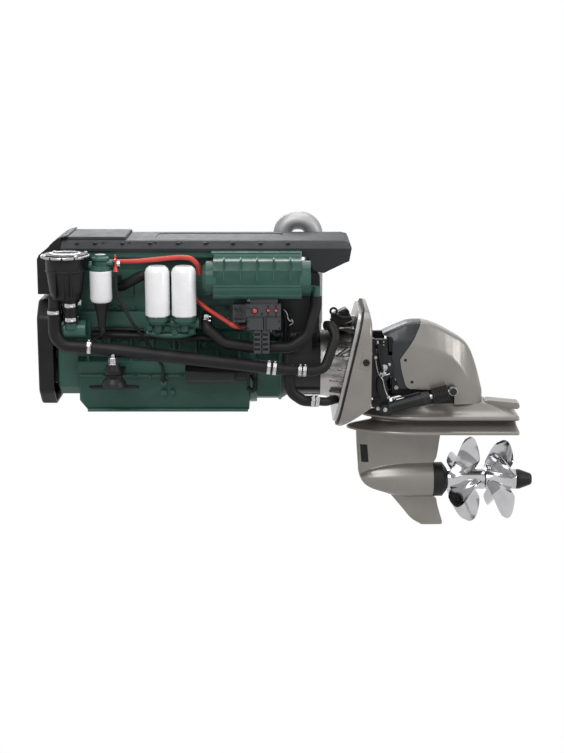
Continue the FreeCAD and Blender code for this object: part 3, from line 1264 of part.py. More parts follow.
def strainer():
    """Sea-water strainer with a lift-off lid."""
    wall = "strainer_wall"
    points = [("strainer_radius - 20 - strainer_wall", "strainer_low + 6"),
              ("strainer_radius - 20", "strainer_low + 6"),
              ("strainer_radius - 12", 334), ("strainer_radius", 424), ("strainer_radius", "strainer_top"),
              ("strainer_radius - strainer_wall", "strainer_top"), ("strainer_radius - strainer_wall", 425),
              (f"strainer_radius - 12 - {wall}", 335)]
    cup = revolve("strainer_cup", "XZ", points, "V_Axis", ("strainer_x", "strainer_y", 0))
    floor = rod("strainer_floor", ("strainer_x", "strainer_y", "strainer_low"), UP, "strainer_radius - 20", 8)
    pipe = rod("strainer_pipe", ("strainer_x + 14", "strainer_y", 212), UP, "hose_radius",
               "strainer_low - 210")
    pipe_bore = rod("strainer_pipe_bore", ("strainer_x + 14", "strainer_y", 211), UP, "hose_radius - 3", 20)
    ribs = []
    for number in range(3):
        ribs.append(box(f"strainer_rib{number}",
                        (f"strainer_x - 34 + {30 * number}", f"strainer_x - 28 + {30 * number}"),
                        ("strainer_y - strainer_radius + 3", "strainer_y - 40"), ("strainer_low + 8", 420)))
    arm = box("strainer_arm", ("strainer_x - 20", "strainer_x + 50"),
              ("strainer_y + strainer_radius - 8", "-head_half"),
              (356, 424))
    strap = ring("strainer_strap", ("strainer_x", "strainer_y", 412), UP, "strainer_radius - 2", 4)
    elbow = rod("strainer_elbow", (-1128, -286, 268.1), UP, 21, "strainer_low - 266")
    inside = rod("strainer_inside", ("strainer_x", "strainer_y", "strainer_low + 8"), UP,
                 "strainer_radius - 26", "strainer_top - strainer_low")
    outer = fuse("strainer_outer", [cup, floor, pipe, strap, arm, elbow] + ribs)
    node("strainer_body", cut("strainer_body", outer, [inside, pipe_bore]))
    points = [(0, "strainer_top - 10"), ("strainer_radius - strainer_wall - 0.3", "strainer_top - 10"),
              ("strainer_radius - strainer_wall - 0.3", "strainer_top"), ("lid_radius", "strainer_top"),
              ("lid_radius", "strainer_top + lid_thick - 6"), ("lid_radius - 7", "strainer_top + lid_thick"),
              (0, "strainer_top + lid_thick")]
    lid = revolve("lid_disc", "XZ", points, "V_Axis", ("strainer_x", "strainer_y", 0))
    knob = box("lid_bar", ("strainer_x - 46", "strainer_x + 46"), ("strainer_y - 6", "strainer_y + 6"),
               ("strainer_top + lid_thick - 2", "strainer_top + lid_thick + 5"))
    grips = []
    for number in range(12):
        angle = math.radians(30 * number)
        grips.append(rod(f"lid_grip{number}", (f"strainer_x + (lid_radius + 1) * {math.cos(angle):.6f}",
                                                f"strainer_y + (lid_radius + 1) * {math.sin(angle):.6f}",
                                                "strainer_top + 2"), UP, 6, "lid_thick - 8"))
    node("strainer_lid", fuse("strainer_lid", [lid, knob] + grips))


def sea_water_pump():
    case = rod("pump_case", (-1094, -262, 182), AFT, 36, 82)
    nose = rod("pump_nose", (-1100, -256, 182), AFT, 20, 7)
    inlet = rod("pump_inlet", ("strainer_x + 14", "strainer_y", 190), UP, "hose_radius - 3", 36)
    pad_arm = box("pump_arm", (-1086, "block_front + 4"), (-250, "-block_half - 50"), (150, 204))
    body = fuse("pump_joined", [case, nose, inlet, pad_arm])
    node("sea_water_pump", seated("sea_water_pump", body, "engine_block", "strainer_body"))


def hoses():
    raw = [hose("raw_hose", [(-1128, -286, 268), (-1128, -289, 127), (-998, -290, 119),
                             (-325, -290, 41), (-268, -290, 34)], 25, 62),
           hose("raw_link", [(-272, -290, 34), (-210, -290, 29)], 21),
           hose("shield_hose", [(-214, -290, 28), (-150, -288, 25), (-104, -276, 34), (-62, -240, 150),
                                (-80, -216, 190), (-100, -200, 186)], 18.5, 44)]
    links = [hose("shield_elbow", [(-98, -202, 187), (-84, -180, 176), (-62, -120, 160)], 15, 30),
             hose("low_hose", [(-240, -270, 22), (-236, -270, -60), (-188, -262, -96), (-128, -250, -101)],
                  21, 50),
             hose("low_link", [(-130, -250, -101), (-96, -236, -106), (-60, -168, -112)], 17, 30)]
    raw_run = seated("raw_water_run", fuse("raw_joined", raw + links), "inner_shield", "sea_water_pump",
                     "strainer_body")
    coolant = [hose("coolant_long", [(-556, -230, 214), (-556, -258, 190), (-486, -270, 130),
                                     (-381, -270, 115),
                                     (-233, -268, 115), (-172, -262, 158), (-139, -250, 270),
                                     (-139, -250, 308)],
                    22, 60),
               hose("coolant_riser", [(-556, -230, 240), (-556, -230, 210)], 17),
               hose("coolant_upper", [(-890, -150, 330), (-872, -196, 342), (-794, -206, 386),
                                      (-730, -176, 372),
                                      (-700, -140, 352)], 19, 50)]
    node("water_hoses", group("water_hoses", [raw_run, fuse("coolant_main", coolant[:2]),
                                              seated("coolant_fit", coolant[2], "cylinder_head")]))
    top = hose("red_top", [(-893, -256, 441), (-813, -262, 444), (-655, -262, 459), (-610, -262, 456),
                           (-584, -258, 428), (-580, -250, 392)], 9, 40)
    low = hose("red_low", [(-600, -214, 300), (-590, -230, 286), (-549, -255, 259), (-461, -275, 205)], 8, 30)
    tail = hose("red_tail", [(-463, -275, 205.5), (-440, -282, 197), (-408, -286, 195)], 9.5, 30)
    node("red_hoses", group("red_hoses", [top, fuse("red_lower", [low, tail])]))
    tube = hose("dipstick_pipe", [(-893, -290, 408), (-891, -290, 322), (-832, -285, 208), (-780, -244, 127),
                                  (-729, -206, 26), (-730, -172, -32), (-730, -156, -46)],
                                  "dipstick_tube_radius", 60)
    bore = rod("dipstick_bore", (-893, -290, 358), UP, "dipstick_radius + running_gap", 60)
    stay = box("dipstick_stay", (-899, -887), (-292, "-head_half"), (366, 374))
    tubing = cut("dipstick_bored", fuse("dipstick_tubing", [tube, stay]), [bore])
    node("dipstick_tube", seated("dipstick_tube", tubing, "oil_pan"))
    stick = rod("dipstick_blade", (-893, -290, 361), UP, "dipstick_radius", 56)
    bell = cone("dipstick_bell", (-893, -290, 408.4), UP, 10, 6, 18)
    stem = rod("dipstick_stem", (-893, -290, 424), UP, 3.4, 48)
    bar = hose("dipstick_bar", [(-893, -312, 452), (-893, -290, 456), (-893, -268, 452)], 4)
    node("dipstick", fuse("dipstick", [stick, bell, stem, bar]))


def band(name, centre, along, radius, width=13):
    """A hose clamp: a flat band with its screw housing."""
    axis = Vector(*along)
    start = Vector(*centre) - Vector(axis).normalize() * (width / 2)
    strap = rod(name + "_strap", tuple(start), axis, f"{radius} + 1.6", width)
    hole = rod(name + "_hole", tuple(start - axis), axis, f"{radius} - 0.2", width + 3)
    side = Vector(0, -1, 0) if abs(axis.y) < 0.6 else AFT
    screw_start = Vector(*centre) + side * (radius + 4) - axis.cross(side) * 9
    screw = rod(name + "_screw", tuple(screw_start), axis.cross(side), 5, 18)
    return cut(name, fuse(name + "_joined", [strap, screw]), [hole])


def hose_clamps():
    run = Vector(673, 0, -78).normalize()
    flat = Vector(1, 0, -0.06).normalize()
    spots = [((-998, -290, 119), run, 25), ((-318, -290, 40.5), run, 25), ((-296, -290, 38), run, 25),
             ((-200, -290, 27.5), flat, 18.7), ((-182, -289, 26.6), flat, 18.7),
             ((-152, -256, -99.5), Vector(1, 0.16, -0.05).normalize(), 21),
             ((-135, -252, -100.5), Vector(1, 0.2, -0.08).normalize(), 21),
             (("strainer_x + 14", "strainer_y", 282), UP, 27),
             (("strainer_x + 14", "strainer_y", 228), UP, 27),
             ((-1128, -286, 254), UP, 25),
             ((-556, -230, 222), UP, 17)]
    bands = []
    for number, (centre, along, radius) in enumerate(spots):
        bands.append(band(f"clamp{number}", [value(part) for part in centre], along, radius))
    node("hose_clamps", seated("hose_clamps", group("hose_clamp_bands", bands), "water_hoses",
                               "strainer_body"))


def junction_box():
    """Relay box with three push buttons on its face."""
    front = "box_out"
    main = box("box_main", ("box_front", "box_back"), (front, "box_in"), ("box_high - 49", "box_high"))
    plate = box("box_plate", ("box_front - 46", "box_back"), ("box_in - 6", "box_in"),
                ("box_low + 2", "box_high"))
    side = box("box_side", ("box_front - 50", "box_front + 2"), (f"{front} + 14", "box_in"),
               ("box_low + 38", "box_high - 4"))
    relays = [box(f"box_relay{number}", (low, high), (f"{front} + 4", "box_in"),
                  ("box_low + 3", "box_high - 47"))
              for number, (low, high) in enumerate((("box_front + 4", "box_front + 64"),
                                                    ("box_front + 67", "box_back")))]
    tails = [box(f"box_tail{number}", (f"box_front + 29 + {32 * number}", f"box_front + 56 + {32 * number}"),
                 (f"{front} + 12", -294), ("box_low - 90", "box_low + 5")) for number in range(2)]
    post = box("box_post", ("box_front + 30", "box_back - 30"), ("box_in - 1", "-block_half + 1"),
               ("box_low + 44", "box_low + 54"))
    column = box("box_column", ("box_front + 34", "box_front + 84"), ("box_in - 2", "box_in + 14"),
                 ("box_low - 48", "box_high - 20"))
    bores = []
    for name, x, z, radius in BUTTONS:
        bores.append(rod(f"bore_{name}", (x, f"{front} - 1", z), STARBOARD, f"{radius} + 0.1", 21))
    ports = [rod(f"box_port{number}", (x, f"{front} - 1", z), STARBOARD, 2.8, 5)
             for number, (x, z) in enumerate(((-320, 279), (-291, 279), (-342, 256), (-320, 255),
                                              (-291, 255), (-388, 274)))]
    inlet = box("box_inlet", (-409, "box_front + 20"), (-300, -271), ("box_low - 7", "box_low + 17"))
    joined = fuse("box_joined", [main, plate, side, post, column, inlet] + relays + tails)
    node("junction_box", seated("junction_box", cut("box_bored", joined, bores + ports), "flywheel_housing",
                                "engine_block", "red_hoses"))
    for name, x, z, radius in BUTTONS:
        profile = [(0, -4), (f"{radius} - 1.5", -4), (radius, -3), (radius, 14), (0, 14)]
        node(name, revolve(name, "XY", profile, "V_Axis", (x, front, z)))


BUTTONS = (("main_reset_button", -370, 266, "main_button_radius"),
           ("reset_button_a", -320, 267, "small_button_radius"),
           ("reset_button_b", -291, 267, "small_button_radius"))


def far_side():
    """Exhaust, charge air and starter pieces."""
    riser = hose("riser_pipe", [(-267, 232, 300), (-267, 232, 543), (-139, 232, 543), (-139, 232, 120)], 37)
    outlet = rod("riser_outlet", (-139, 232, 60), UP, 34, 61)
    collar = rod("riser_collar", (-139, 232, 330), UP, 45, 14)
    inlet = rod("riser_inlet", (-304, 224, 322), AFT, 30, 50)
    node("exhaust_riser", fuse("exhaust_riser", [riser, collar, inlet, outlet]))
    manifold = [rod("manifold_tube", (-960, 196, 322), AFT, 34, 580)]
    for number in range(6):
        manifold.append(box(f"manifold_runner{number}",
                            (f"block_front + 66 + {100 * number}", f"block_front + 120 + {100 * number}"),
                            ("head_half + 12", 200), (298, 346)))
    turbo = [rod("turbo_flange", (-380, 200, 322), AFT, 37, 10),
             rod("turbo_turbine", (-372, 218, 322), AFT, 58, 26),
             rod("turbo_middle", (-348, 222, 322), AFT, 24, 20),
             rod("turbo_volute", (-330, 224, 322), AFT, 56, 26)]
    node("exhaust_manifold", fuse("exhaust_manifold", manifold))
    node("turbocharger", fuse("turbocharger", turbo))
    cooler = box("cooler_body", (-300, -122), (-150, 150), (300, 384))
    cooler_soft = fillet("cooler_soft", cooler, 16, lambda middle, run, size: abs(run.y) > 0.9)
    duct = rod("cooler_duct", (-404, -60, 342), AFT, 30, 110)
    cooler_whole = fuse("cooler_joined", [cooler_soft, duct,
                                          box("cooler_foot", (-404, -290), (-80, -40), (322, 362)),
                                                        box("cooler_post", (-150, -128), (-20, 20),
                                                            (100, 302)),
                                                        box("cooler_arm", (-150, -128), (-20, 20),
                                                            (384, 387))])
    node("charge_air_cooler", seated("charge_air_cooler", cooler_whole, "coupling_bell", "heat_exchanger",
                                     "cylinder_head",
                                     "aft_cover"))
    starter = [rod("starter_body", (-640, -214, 0), AFT, 36, 190),
               rod("starter_nose", (-452, -196, 0), AFT, 30, 60),
               rod("starter_solenoid", (-600, -226, 50), AFT, 20, 110),
               box("starter_flange", (-404, "block_back + 1"), (-240, -146), (-36, 40)),
               box("starter_saddle", (-560, -500), (-214, "-block_half + 4"), (-14, 14))]
    node("starter_motor", seated("starter_motor", fuse("starter_joined", starter), "engine_block",
                                 "flywheel_housing",
                                 "oil_pan"))


def engine_mounts():
    """Brackets, rubbers and feet at the engine's front; the transom shield carries its aft end."""
    brackets = []
    rubbers = []
    for side, name in ((-1, "port"), (1, "starboard")):
        for number, x in enumerate(("mount_x",)):
            y = f"{side} * mount_y"
            low, high = sorted((f"{side} * (block_half - 20)", f"{side} * (mount_y + 26)"), key=value)
            brackets.append(fuse(f"mount_arm_whole_{name}{number}", [
                box(f"mount_arm_{name}{number}", (f"{x} - 30", f"{x} + 30"), (low, high), (2, 16)),
                rod(f"mount_stud_{name}{number}", (x, y, -6), UP, 7, 66),
                rod(f"mount_nut_{name}{number}", (x, y, 15.5), UP, 20, 15),
                rod(f"mount_nut_high_{name}{number}", (x, y, 30), UP, 16, 18)]))
            points = [(7.1, 1.9), (34, 1.9), (44, -12), (48, -26), (48, -32), (7.1, -32)]
            cushion = revolve(f"mount_rubber_{name}{number}", "XZ", points, "V_Axis", (x, y, 0))
            rubbers.append(cushion)
            foot = box(f"mount_foot_{name}{number}", (f"{x} - 96", f"{x} + 96"), (f"{y} - 30", f"{y} + 30"),
                       (-37, -32.1))
            foot_soft = fillet(f"mount_foot_soft_{name}{number}", foot, 24, lambda middle, run,
                               size: abs(run.z) > 0.9)
            slots = [rod(f"mount_hole_{name}{number}_{end}", (f"{x} + {end} * mount_hole_reach", y, -38), UP,
                         "mount_hole_radius", 8) for end in (-1, 1)]
            rubbers.append(cut(f"mount_foot_whole_{name}{number}", foot_soft, slots))
    node("engine_mounts", seated("engine_mounts", group("mount_pieces", brackets + rubbers), "engine_block"))


def build():
    engine_block()
    oil_pan()
    cylinder_head()
    flywheel_housing()
    coupling_bell()
    top_cover()
    front_grille()
    aft_cover()
    belt_guard()
    pulleys()
    drive_belt()
    heat_exchanger()
    filters()
    strainer()
    inner_shield()
    sea_water_pump()
    hoses()
    hose_clamps()
    junction_box()
    far_side()
    engine_mounts()
    steering_actuator()
    transom_shield()
    steering_fork()
    fork_pins()
    trim_cylinders()
    bellows()
    upper_housing()
    cowl()
    intermediate_housing()
    doc.recompute()
    trim_tab()
    lower_housing()
    propeller_ring()
    propellers()
    doc.recompute()


def export():
    os.makedirs("parts", exist_ok=True)
    faults = []
    for item in doc.Objects:
        if "Invalid" in item.State or "Error" in item.State:
            faults.append(f"{item.Name}: {item.State}")
    for name, item in NODES.items():
        made = item.Shape
        if made.isNull() or not made.isValid() or not made.Solids:
            faults.append(f"{name}: null, not valid or without solids")
    if faults:
        raise SystemExit("\n".join(faults))
    for name, item in NODES.items():
        item.Shape.exportStep(f"parts/{name}.step")
        print(name, len(item.Shape.Solids), [round(number) for number in (
            item.Shape.BoundBox.XMin, item.Shape.BoundBox.XMax, item.Shape.BoundBox.YMin,
            item.Shape.BoundBox.YMax,
            item.Shape.BoundBox.ZMin, item.Shape.BoundBox.ZMax)])


build()
export()
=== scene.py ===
"""Looks of the inboard engine with stern drive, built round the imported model."""
import json
import math

import bmesh
import bpy
from mathutils import Matrix, Vector

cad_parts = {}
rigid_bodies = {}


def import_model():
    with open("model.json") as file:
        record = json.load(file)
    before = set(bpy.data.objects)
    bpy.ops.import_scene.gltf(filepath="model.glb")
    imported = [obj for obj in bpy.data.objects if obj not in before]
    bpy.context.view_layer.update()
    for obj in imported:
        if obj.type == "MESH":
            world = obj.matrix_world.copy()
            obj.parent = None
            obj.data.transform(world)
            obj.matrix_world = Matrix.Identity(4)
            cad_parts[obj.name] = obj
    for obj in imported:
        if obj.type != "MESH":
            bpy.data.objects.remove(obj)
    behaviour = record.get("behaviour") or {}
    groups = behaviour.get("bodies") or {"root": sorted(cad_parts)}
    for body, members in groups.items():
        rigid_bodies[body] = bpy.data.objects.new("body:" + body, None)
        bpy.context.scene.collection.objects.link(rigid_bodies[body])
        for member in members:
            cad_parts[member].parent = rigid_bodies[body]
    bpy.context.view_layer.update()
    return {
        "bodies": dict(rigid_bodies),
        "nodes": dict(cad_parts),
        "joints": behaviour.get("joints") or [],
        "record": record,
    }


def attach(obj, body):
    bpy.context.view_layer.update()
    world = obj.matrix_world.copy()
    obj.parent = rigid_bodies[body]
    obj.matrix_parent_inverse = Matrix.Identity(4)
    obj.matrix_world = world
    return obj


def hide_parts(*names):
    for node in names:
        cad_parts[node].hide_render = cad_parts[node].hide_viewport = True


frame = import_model()
nodes = frame["nodes"]


# Camera: level with the photograph's view, looking a little down on the port side
CAMERA_PLACE, CAMERA_DOWN = (-0.268, -5.874, 1.223), 12.3


def make_camera():
    camera = bpy.data.cameras.new("camera")
    camera.lens = 71.71
    camera.sensor_width = 36.0
    camera.clip_end = 60
    holder = bpy.data.objects.new("camera", camera)
    bpy.context.scene.collection.objects.link(holder)
    holder.location = CAMERA_PLACE
    holder.rotation_euler = (math.radians(90 - CAMERA_DOWN), 0, 0)
    bpy.context.scene.camera = holder


make_camera()


# Materials: every surface is procedural, with its relief in metres
def new_material(name):
    material = bpy.data.materials.new(name)
    material.use_nodes = True
    tree = material.node_tree
    tree.nodes.clear()
    output = tree.nodes.new("ShaderNodeOutputMaterial")
    shader = tree.nodes.new("ShaderNodeBsdfPrincipled")
    tree.links.new(shader.outputs[0], output.inputs[0])
    return material, tree, shader


def coordinates(tree, scale):
    place = tree.nodes.new("ShaderNodeTexCoord")
    mapping = tree.nodes.new("ShaderNodeMapping")
    mapping.inputs["Scale"].default_value = (scale, scale, scale)
    tree.links.new(place.outputs["Object"], mapping.inputs["Vector"])
    return mapping.outputs["Vector"]


def noise(tree, scale, detail=3.0, rough=0.55):
    item = tree.nodes.new("ShaderNodeTexNoise")
    item.inputs["Scale"].default_value = 1.0
    item.inputs["Detail"].default_value = detail
    item.inputs["Roughness"].default_value = rough
    tree.links.new(coordinates(tree, scale), item.inputs["Vector"])
    return item.outputs["Fac"]


def ramp(tree, source, stops):
    item = tree.nodes.new("ShaderNodeValToRGB")
    while len(item.color_ramp.elements) < len(stops):
        item.color_ramp.elements.new(0.5)
    for element, (place, colour) in zip(item.color_ramp.elements, stops):
        element.position = place
        element.color = (*colour, 1.0) if hasattr(colour, "__len__") else (colour, colour, colour, 1.0)
    tree.links.new(source, item.inputs["Fac"])
    return item.outputs["Color"]


def bump(tree, shader, heights, edge=0.0):
    """Chains fine surface relief onto the shader, over a softened edge."""
    normal = None
    if edge:
        soft = tree.nodes.new("ShaderNodeBevel")
        soft.samples = 4
        soft.inputs["Radius"].default_value = edge
        normal = soft.outputs["Normal"]
    for source, strength, distance in heights:
        item = tree.nodes.new("ShaderNodeBump")
        item.inputs["Strength"].default_value = strength
        item.inputs["Distance"].default_value = distance
        tree.links.new(source, item.inputs["Height"])
        if normal is not None:
            tree.links.new(normal, item.inputs["Normal"])
        normal = item.outputs["Normal"]
    if normal is not None:
        tree.links.new(normal, shader.inputs["Normal"])


def rub_and_edge_highlight(tree, source, amount, rubbed_and_lit_edge):
    """Lightens what stands proud: rubbed paint on the edges, and a painted highlight along them."""
    geometry = tree.nodes.new("ShaderNodeNewGeometry")
    mask = ramp(tree, geometry.outputs["Pointiness"], [(0.505, 0.0), (0.56, amount)])
    mix = tree.nodes.new("ShaderNodeMix")
    mix.data_type = "RGBA"
    tree.links.new(mask, mix.inputs["Factor"])
    tree.links.new(source, mix.inputs["A"])
    mix.inputs["B"].default_value = (*rubbed_and_lit_edge, 1.0)
    return mix.outputs["Result"]


def surface(name, dark, light, rough=(0.35, 0.5), metallic=0.0, patch=9.0, grain=900.0, grain_depth=0.0002,
            edge=0.0015, coat=0.0, coat_rough=0.15, rubbed_and_lit_edge=None, rubbed_and_lit_edge_amount=0.3, specular=0.5, wave=0.0):
    material, tree, shader = new_material(name)
    colour = ramp(tree, noise(tree, patch, 4.0), [(0.3, dark), (0.72, light)])
    # Edge colour: partly rubbed paint, partly a painted highlight on what stands proud.
    if rubbed_and_lit_edge is not None:
        colour = rub_and_edge_highlight(tree, colour, rubbed_and_lit_edge_amount, rubbed_and_lit_edge)
    tree.links.new(colour, shader.inputs["Base Color"])
    tree.links.new(ramp(tree, noise(tree, patch * 3.1, 3.0), [(0.25, rough[0]), (0.75, rough[1])]),
                   shader.inputs["Roughness"])
    shader.inputs["Metallic"].default_value = metallic
    shader.inputs["Specular IOR Level"].default_value = specular
    shader.inputs["Coat Weight"].default_value = coat
    shader.inputs["Coat Roughness"].default_value = coat_rough
    heights = []
    if wave:
        heights.append((noise(tree, 22.0, 2.0), 1.0, wave))
    if grain:
        heights.append((noise(tree, grain, 2.0), 0.35, grain_depth))
    bump(tree, shader, heights, edge)
    return material


# The lighter edge colours of the green and dark paints are partly rubbed paint and partly a painted highlight
# along the edges.
GREEN = surface("green_paint", (0.012, 0.050, 0.037), (0.020, 0.074, 0.055), rough=(0.30, 0.42), grain=420.0,
                grain_depth=0.0002, edge=0.003, coat=0.1, rubbed_and_lit_edge=(0.06, 0.15, 0.12), rubbed_and_lit_edge_amount=0.35,
                wave=0.0010, specular=0.25)
COVER = surface("cover_plastic", (0.024, 0.026, 0.028), (0.033, 0.035, 0.038), rough=(0.5, 0.62),
                grain=1500.0, edge=0.003, specular=0.12)
DARK = surface("dark_paint", (0.006, 0.0065, 0.007), (0.012, 0.0125, 0.0135), rough=(0.32, 0.46), edge=0.002,
               rubbed_and_lit_edge=(0.04, 0.04, 0.043), specular=0.22)
SHROUD = surface("shroud_paint", (0.016, 0.019, 0.022), (0.024, 0.027, 0.031), rough=(0.30, 0.38),
                 grain=320.0, grain_depth=0.00002, edge=0.0, coat=0.12, specular=0.25)
GREY = surface("grey_paint", (0.210, 0.197, 0.181), (0.242, 0.229, 0.212), rough=(0.27, 0.33), metallic=0.45,
               grain=320.0, grain_depth=0.00002, edge=0.0, coat=0.2, coat_rough=0.2, specular=0.35)
ALLOY = surface("cast_alloy", (0.30, 0.29, 0.28), (0.42, 0.41, 0.395), rough=(0.24, 0.36), metallic=1.0,
                grain=500.0, grain_depth=0.00025, edge=0.003, wave=0.0008)
TURNED = surface("turned_alloy", (0.27, 0.27, 0.27), (0.36, 0.36, 0.36), rough=(0.46, 0.56), metallic=0.7,
                 grain=600.0, grain_depth=0.00015, edge=0.001)
RUBBER = surface("black_rubber", (0.0055, 0.0055, 0.006), (0.0105, 0.0105, 0.011), rough=(0.42, 0.58),
                 grain=1300.0, grain_depth=0.0002, edge=0.001, specular=0.22)
RED_RUBBER = surface("red_hose", (0.42, 0.040, 0.030), (0.56, 0.062, 0.045), rough=(0.4, 0.52), grain=1300.0,
                     specular=0.3)
WHITE = surface("white_can", (0.74, 0.74, 0.75), (0.82, 0.82, 0.83), rough=(0.22, 0.3), grain=700.0,
                grain_depth=0.00004, edge=0.001, coat=0.2)
PLASTIC = surface("black_plastic", (0.006, 0.006, 0.0065), (0.013, 0.013, 0.014), rough=(0.38, 0.52),
                  grain=1600.0, edge=0.002, specular=0.22)
GREY_PLASTIC = surface("grey_plastic", (0.036, 0.037, 0.039), (0.056, 0.057, 0.060), rough=(0.42, 0.52),
                       grain=1600.0, edge=0.0012, specular=0.3)
RED = surface("red_plastic", (0.58, 0.022, 0.016), (0.72, 0.040, 0.030), rough=(0.2, 0.3), grain=900.0,
              grain_depth=0.00005, edge=0.0006, coat=0.3)
STEEL = surface("polished_steel", (0.44, 0.44, 0.45), (0.54, 0.54, 0.55), rough=(0.12, 0.16), metallic=1.0,
                patch=14.0, grain=0.0, edge=0.0)
PLATED = surface("plated_steel", (0.32, 0.32, 0.33), (0.46, 0.46, 0.47), rough=(0.22, 0.34), metallic=1.0,
                 edge=0.001)
IRON = surface("cast_metal", (0.018, 0.018, 0.019), (0.040, 0.038, 0.037), rough=(0.5, 0.7), grain=500.0,
               grain_depth=0.0005, edge=0.002, specular=0.25)

LOOKS = {
    "green_paint": GREEN, "cover_plastic": COVER, "dark_paint": DARK, "grey_paint": GREY, "cast_alloy": ALLOY,
    "black_rubber": RUBBER, "red_hose": RED_RUBBER, "white_can": WHITE, "black_plastic": PLASTIC,
    "red_plastic": RED, "polished_steel": STEEL, "plated_steel": PLATED, "cast_metal": IRON,
}
OWN_LOOKS = {"trim_barrel_port": DARK, "trim_barrel_starboard": DARK, "junction_box": GREY_PLASTIC,
             "front_grille": PLASTIC, "propeller_ring": PLASTIC, "exhaust_riser": TURNED, "fork_pins": DARK, }
# The housing is dark where the recess shows it, and grey aft of this under the cowl
DARK_HOUSING_END = 0.43
slot_of = {part["node"]: part["material_slot"] for part in frame["record"]["subparts"]}


def dress_nodes():
    """Gives every carried-over node its material and smooth curves with crisp corners."""
    for name, item in nodes.items():
        item.data.materials.clear()
        item.data.materials.append(OWN_LOOKS.get(name, LOOKS[slot_of[name]]))
        for face in item.data.polygons:
            face.material_index = 0
            face.use_smooth = True
        if name == "upper_housing":
            item.data.materials.append(DARK)
            for face in item.data.polygons:
                face.material_index = int((item.matrix_world @ face.center).x < DARK_HOUSING_END)
        weld = item.modifiers.new("weld", "WELD")
        weld.merge_threshold = 0.00001
        split = item.modifiers.new("corners", "EDGE_SPLIT")
        split.split_angle = math.radians(32)


dress_nodes()


# Building kit: every measure is in millimetres in the model's own frame
MM = 0.001
PORT, AFT, UP = Vector((0, -1, 0)), Vector((1, 0, 0)), Vector((0, 0, 1))


def smooth_line(points, parts=6):
    """Points on a smooth curve through the ones given."""
    spots = [Vector(point) for point in points]
    ends = [spots[0] * 2 - spots[1]] + spots + [spots[-1] * 2 - spots[-2]]
    line = []
    for a, b, c, d in zip(ends, ends[1:], ends[2:], ends[3:]):
        for step in range(parts):
            t = step / parts
            line.append(0.5 * (2 * b + (c - a) * t + (2 * a - 5 * b + 4 * c - d) * t * t
                               + (3 * b - a - 3 * c + d) * t ** 3))
    return line + [spots[-1]]


def between(table, place):
    """Row of values at a place, read straight between rows that start with their place."""
    if place <= table[0][0]:
        return table[0][1:]
    for (low, *first), (high, *last) in zip(table, table[1:]):
        if place <= high:
            t = (place - low) / (high - low)
            return [a + (b - a) * t for a, b in zip(first, last)]
    return table[-1][1:]


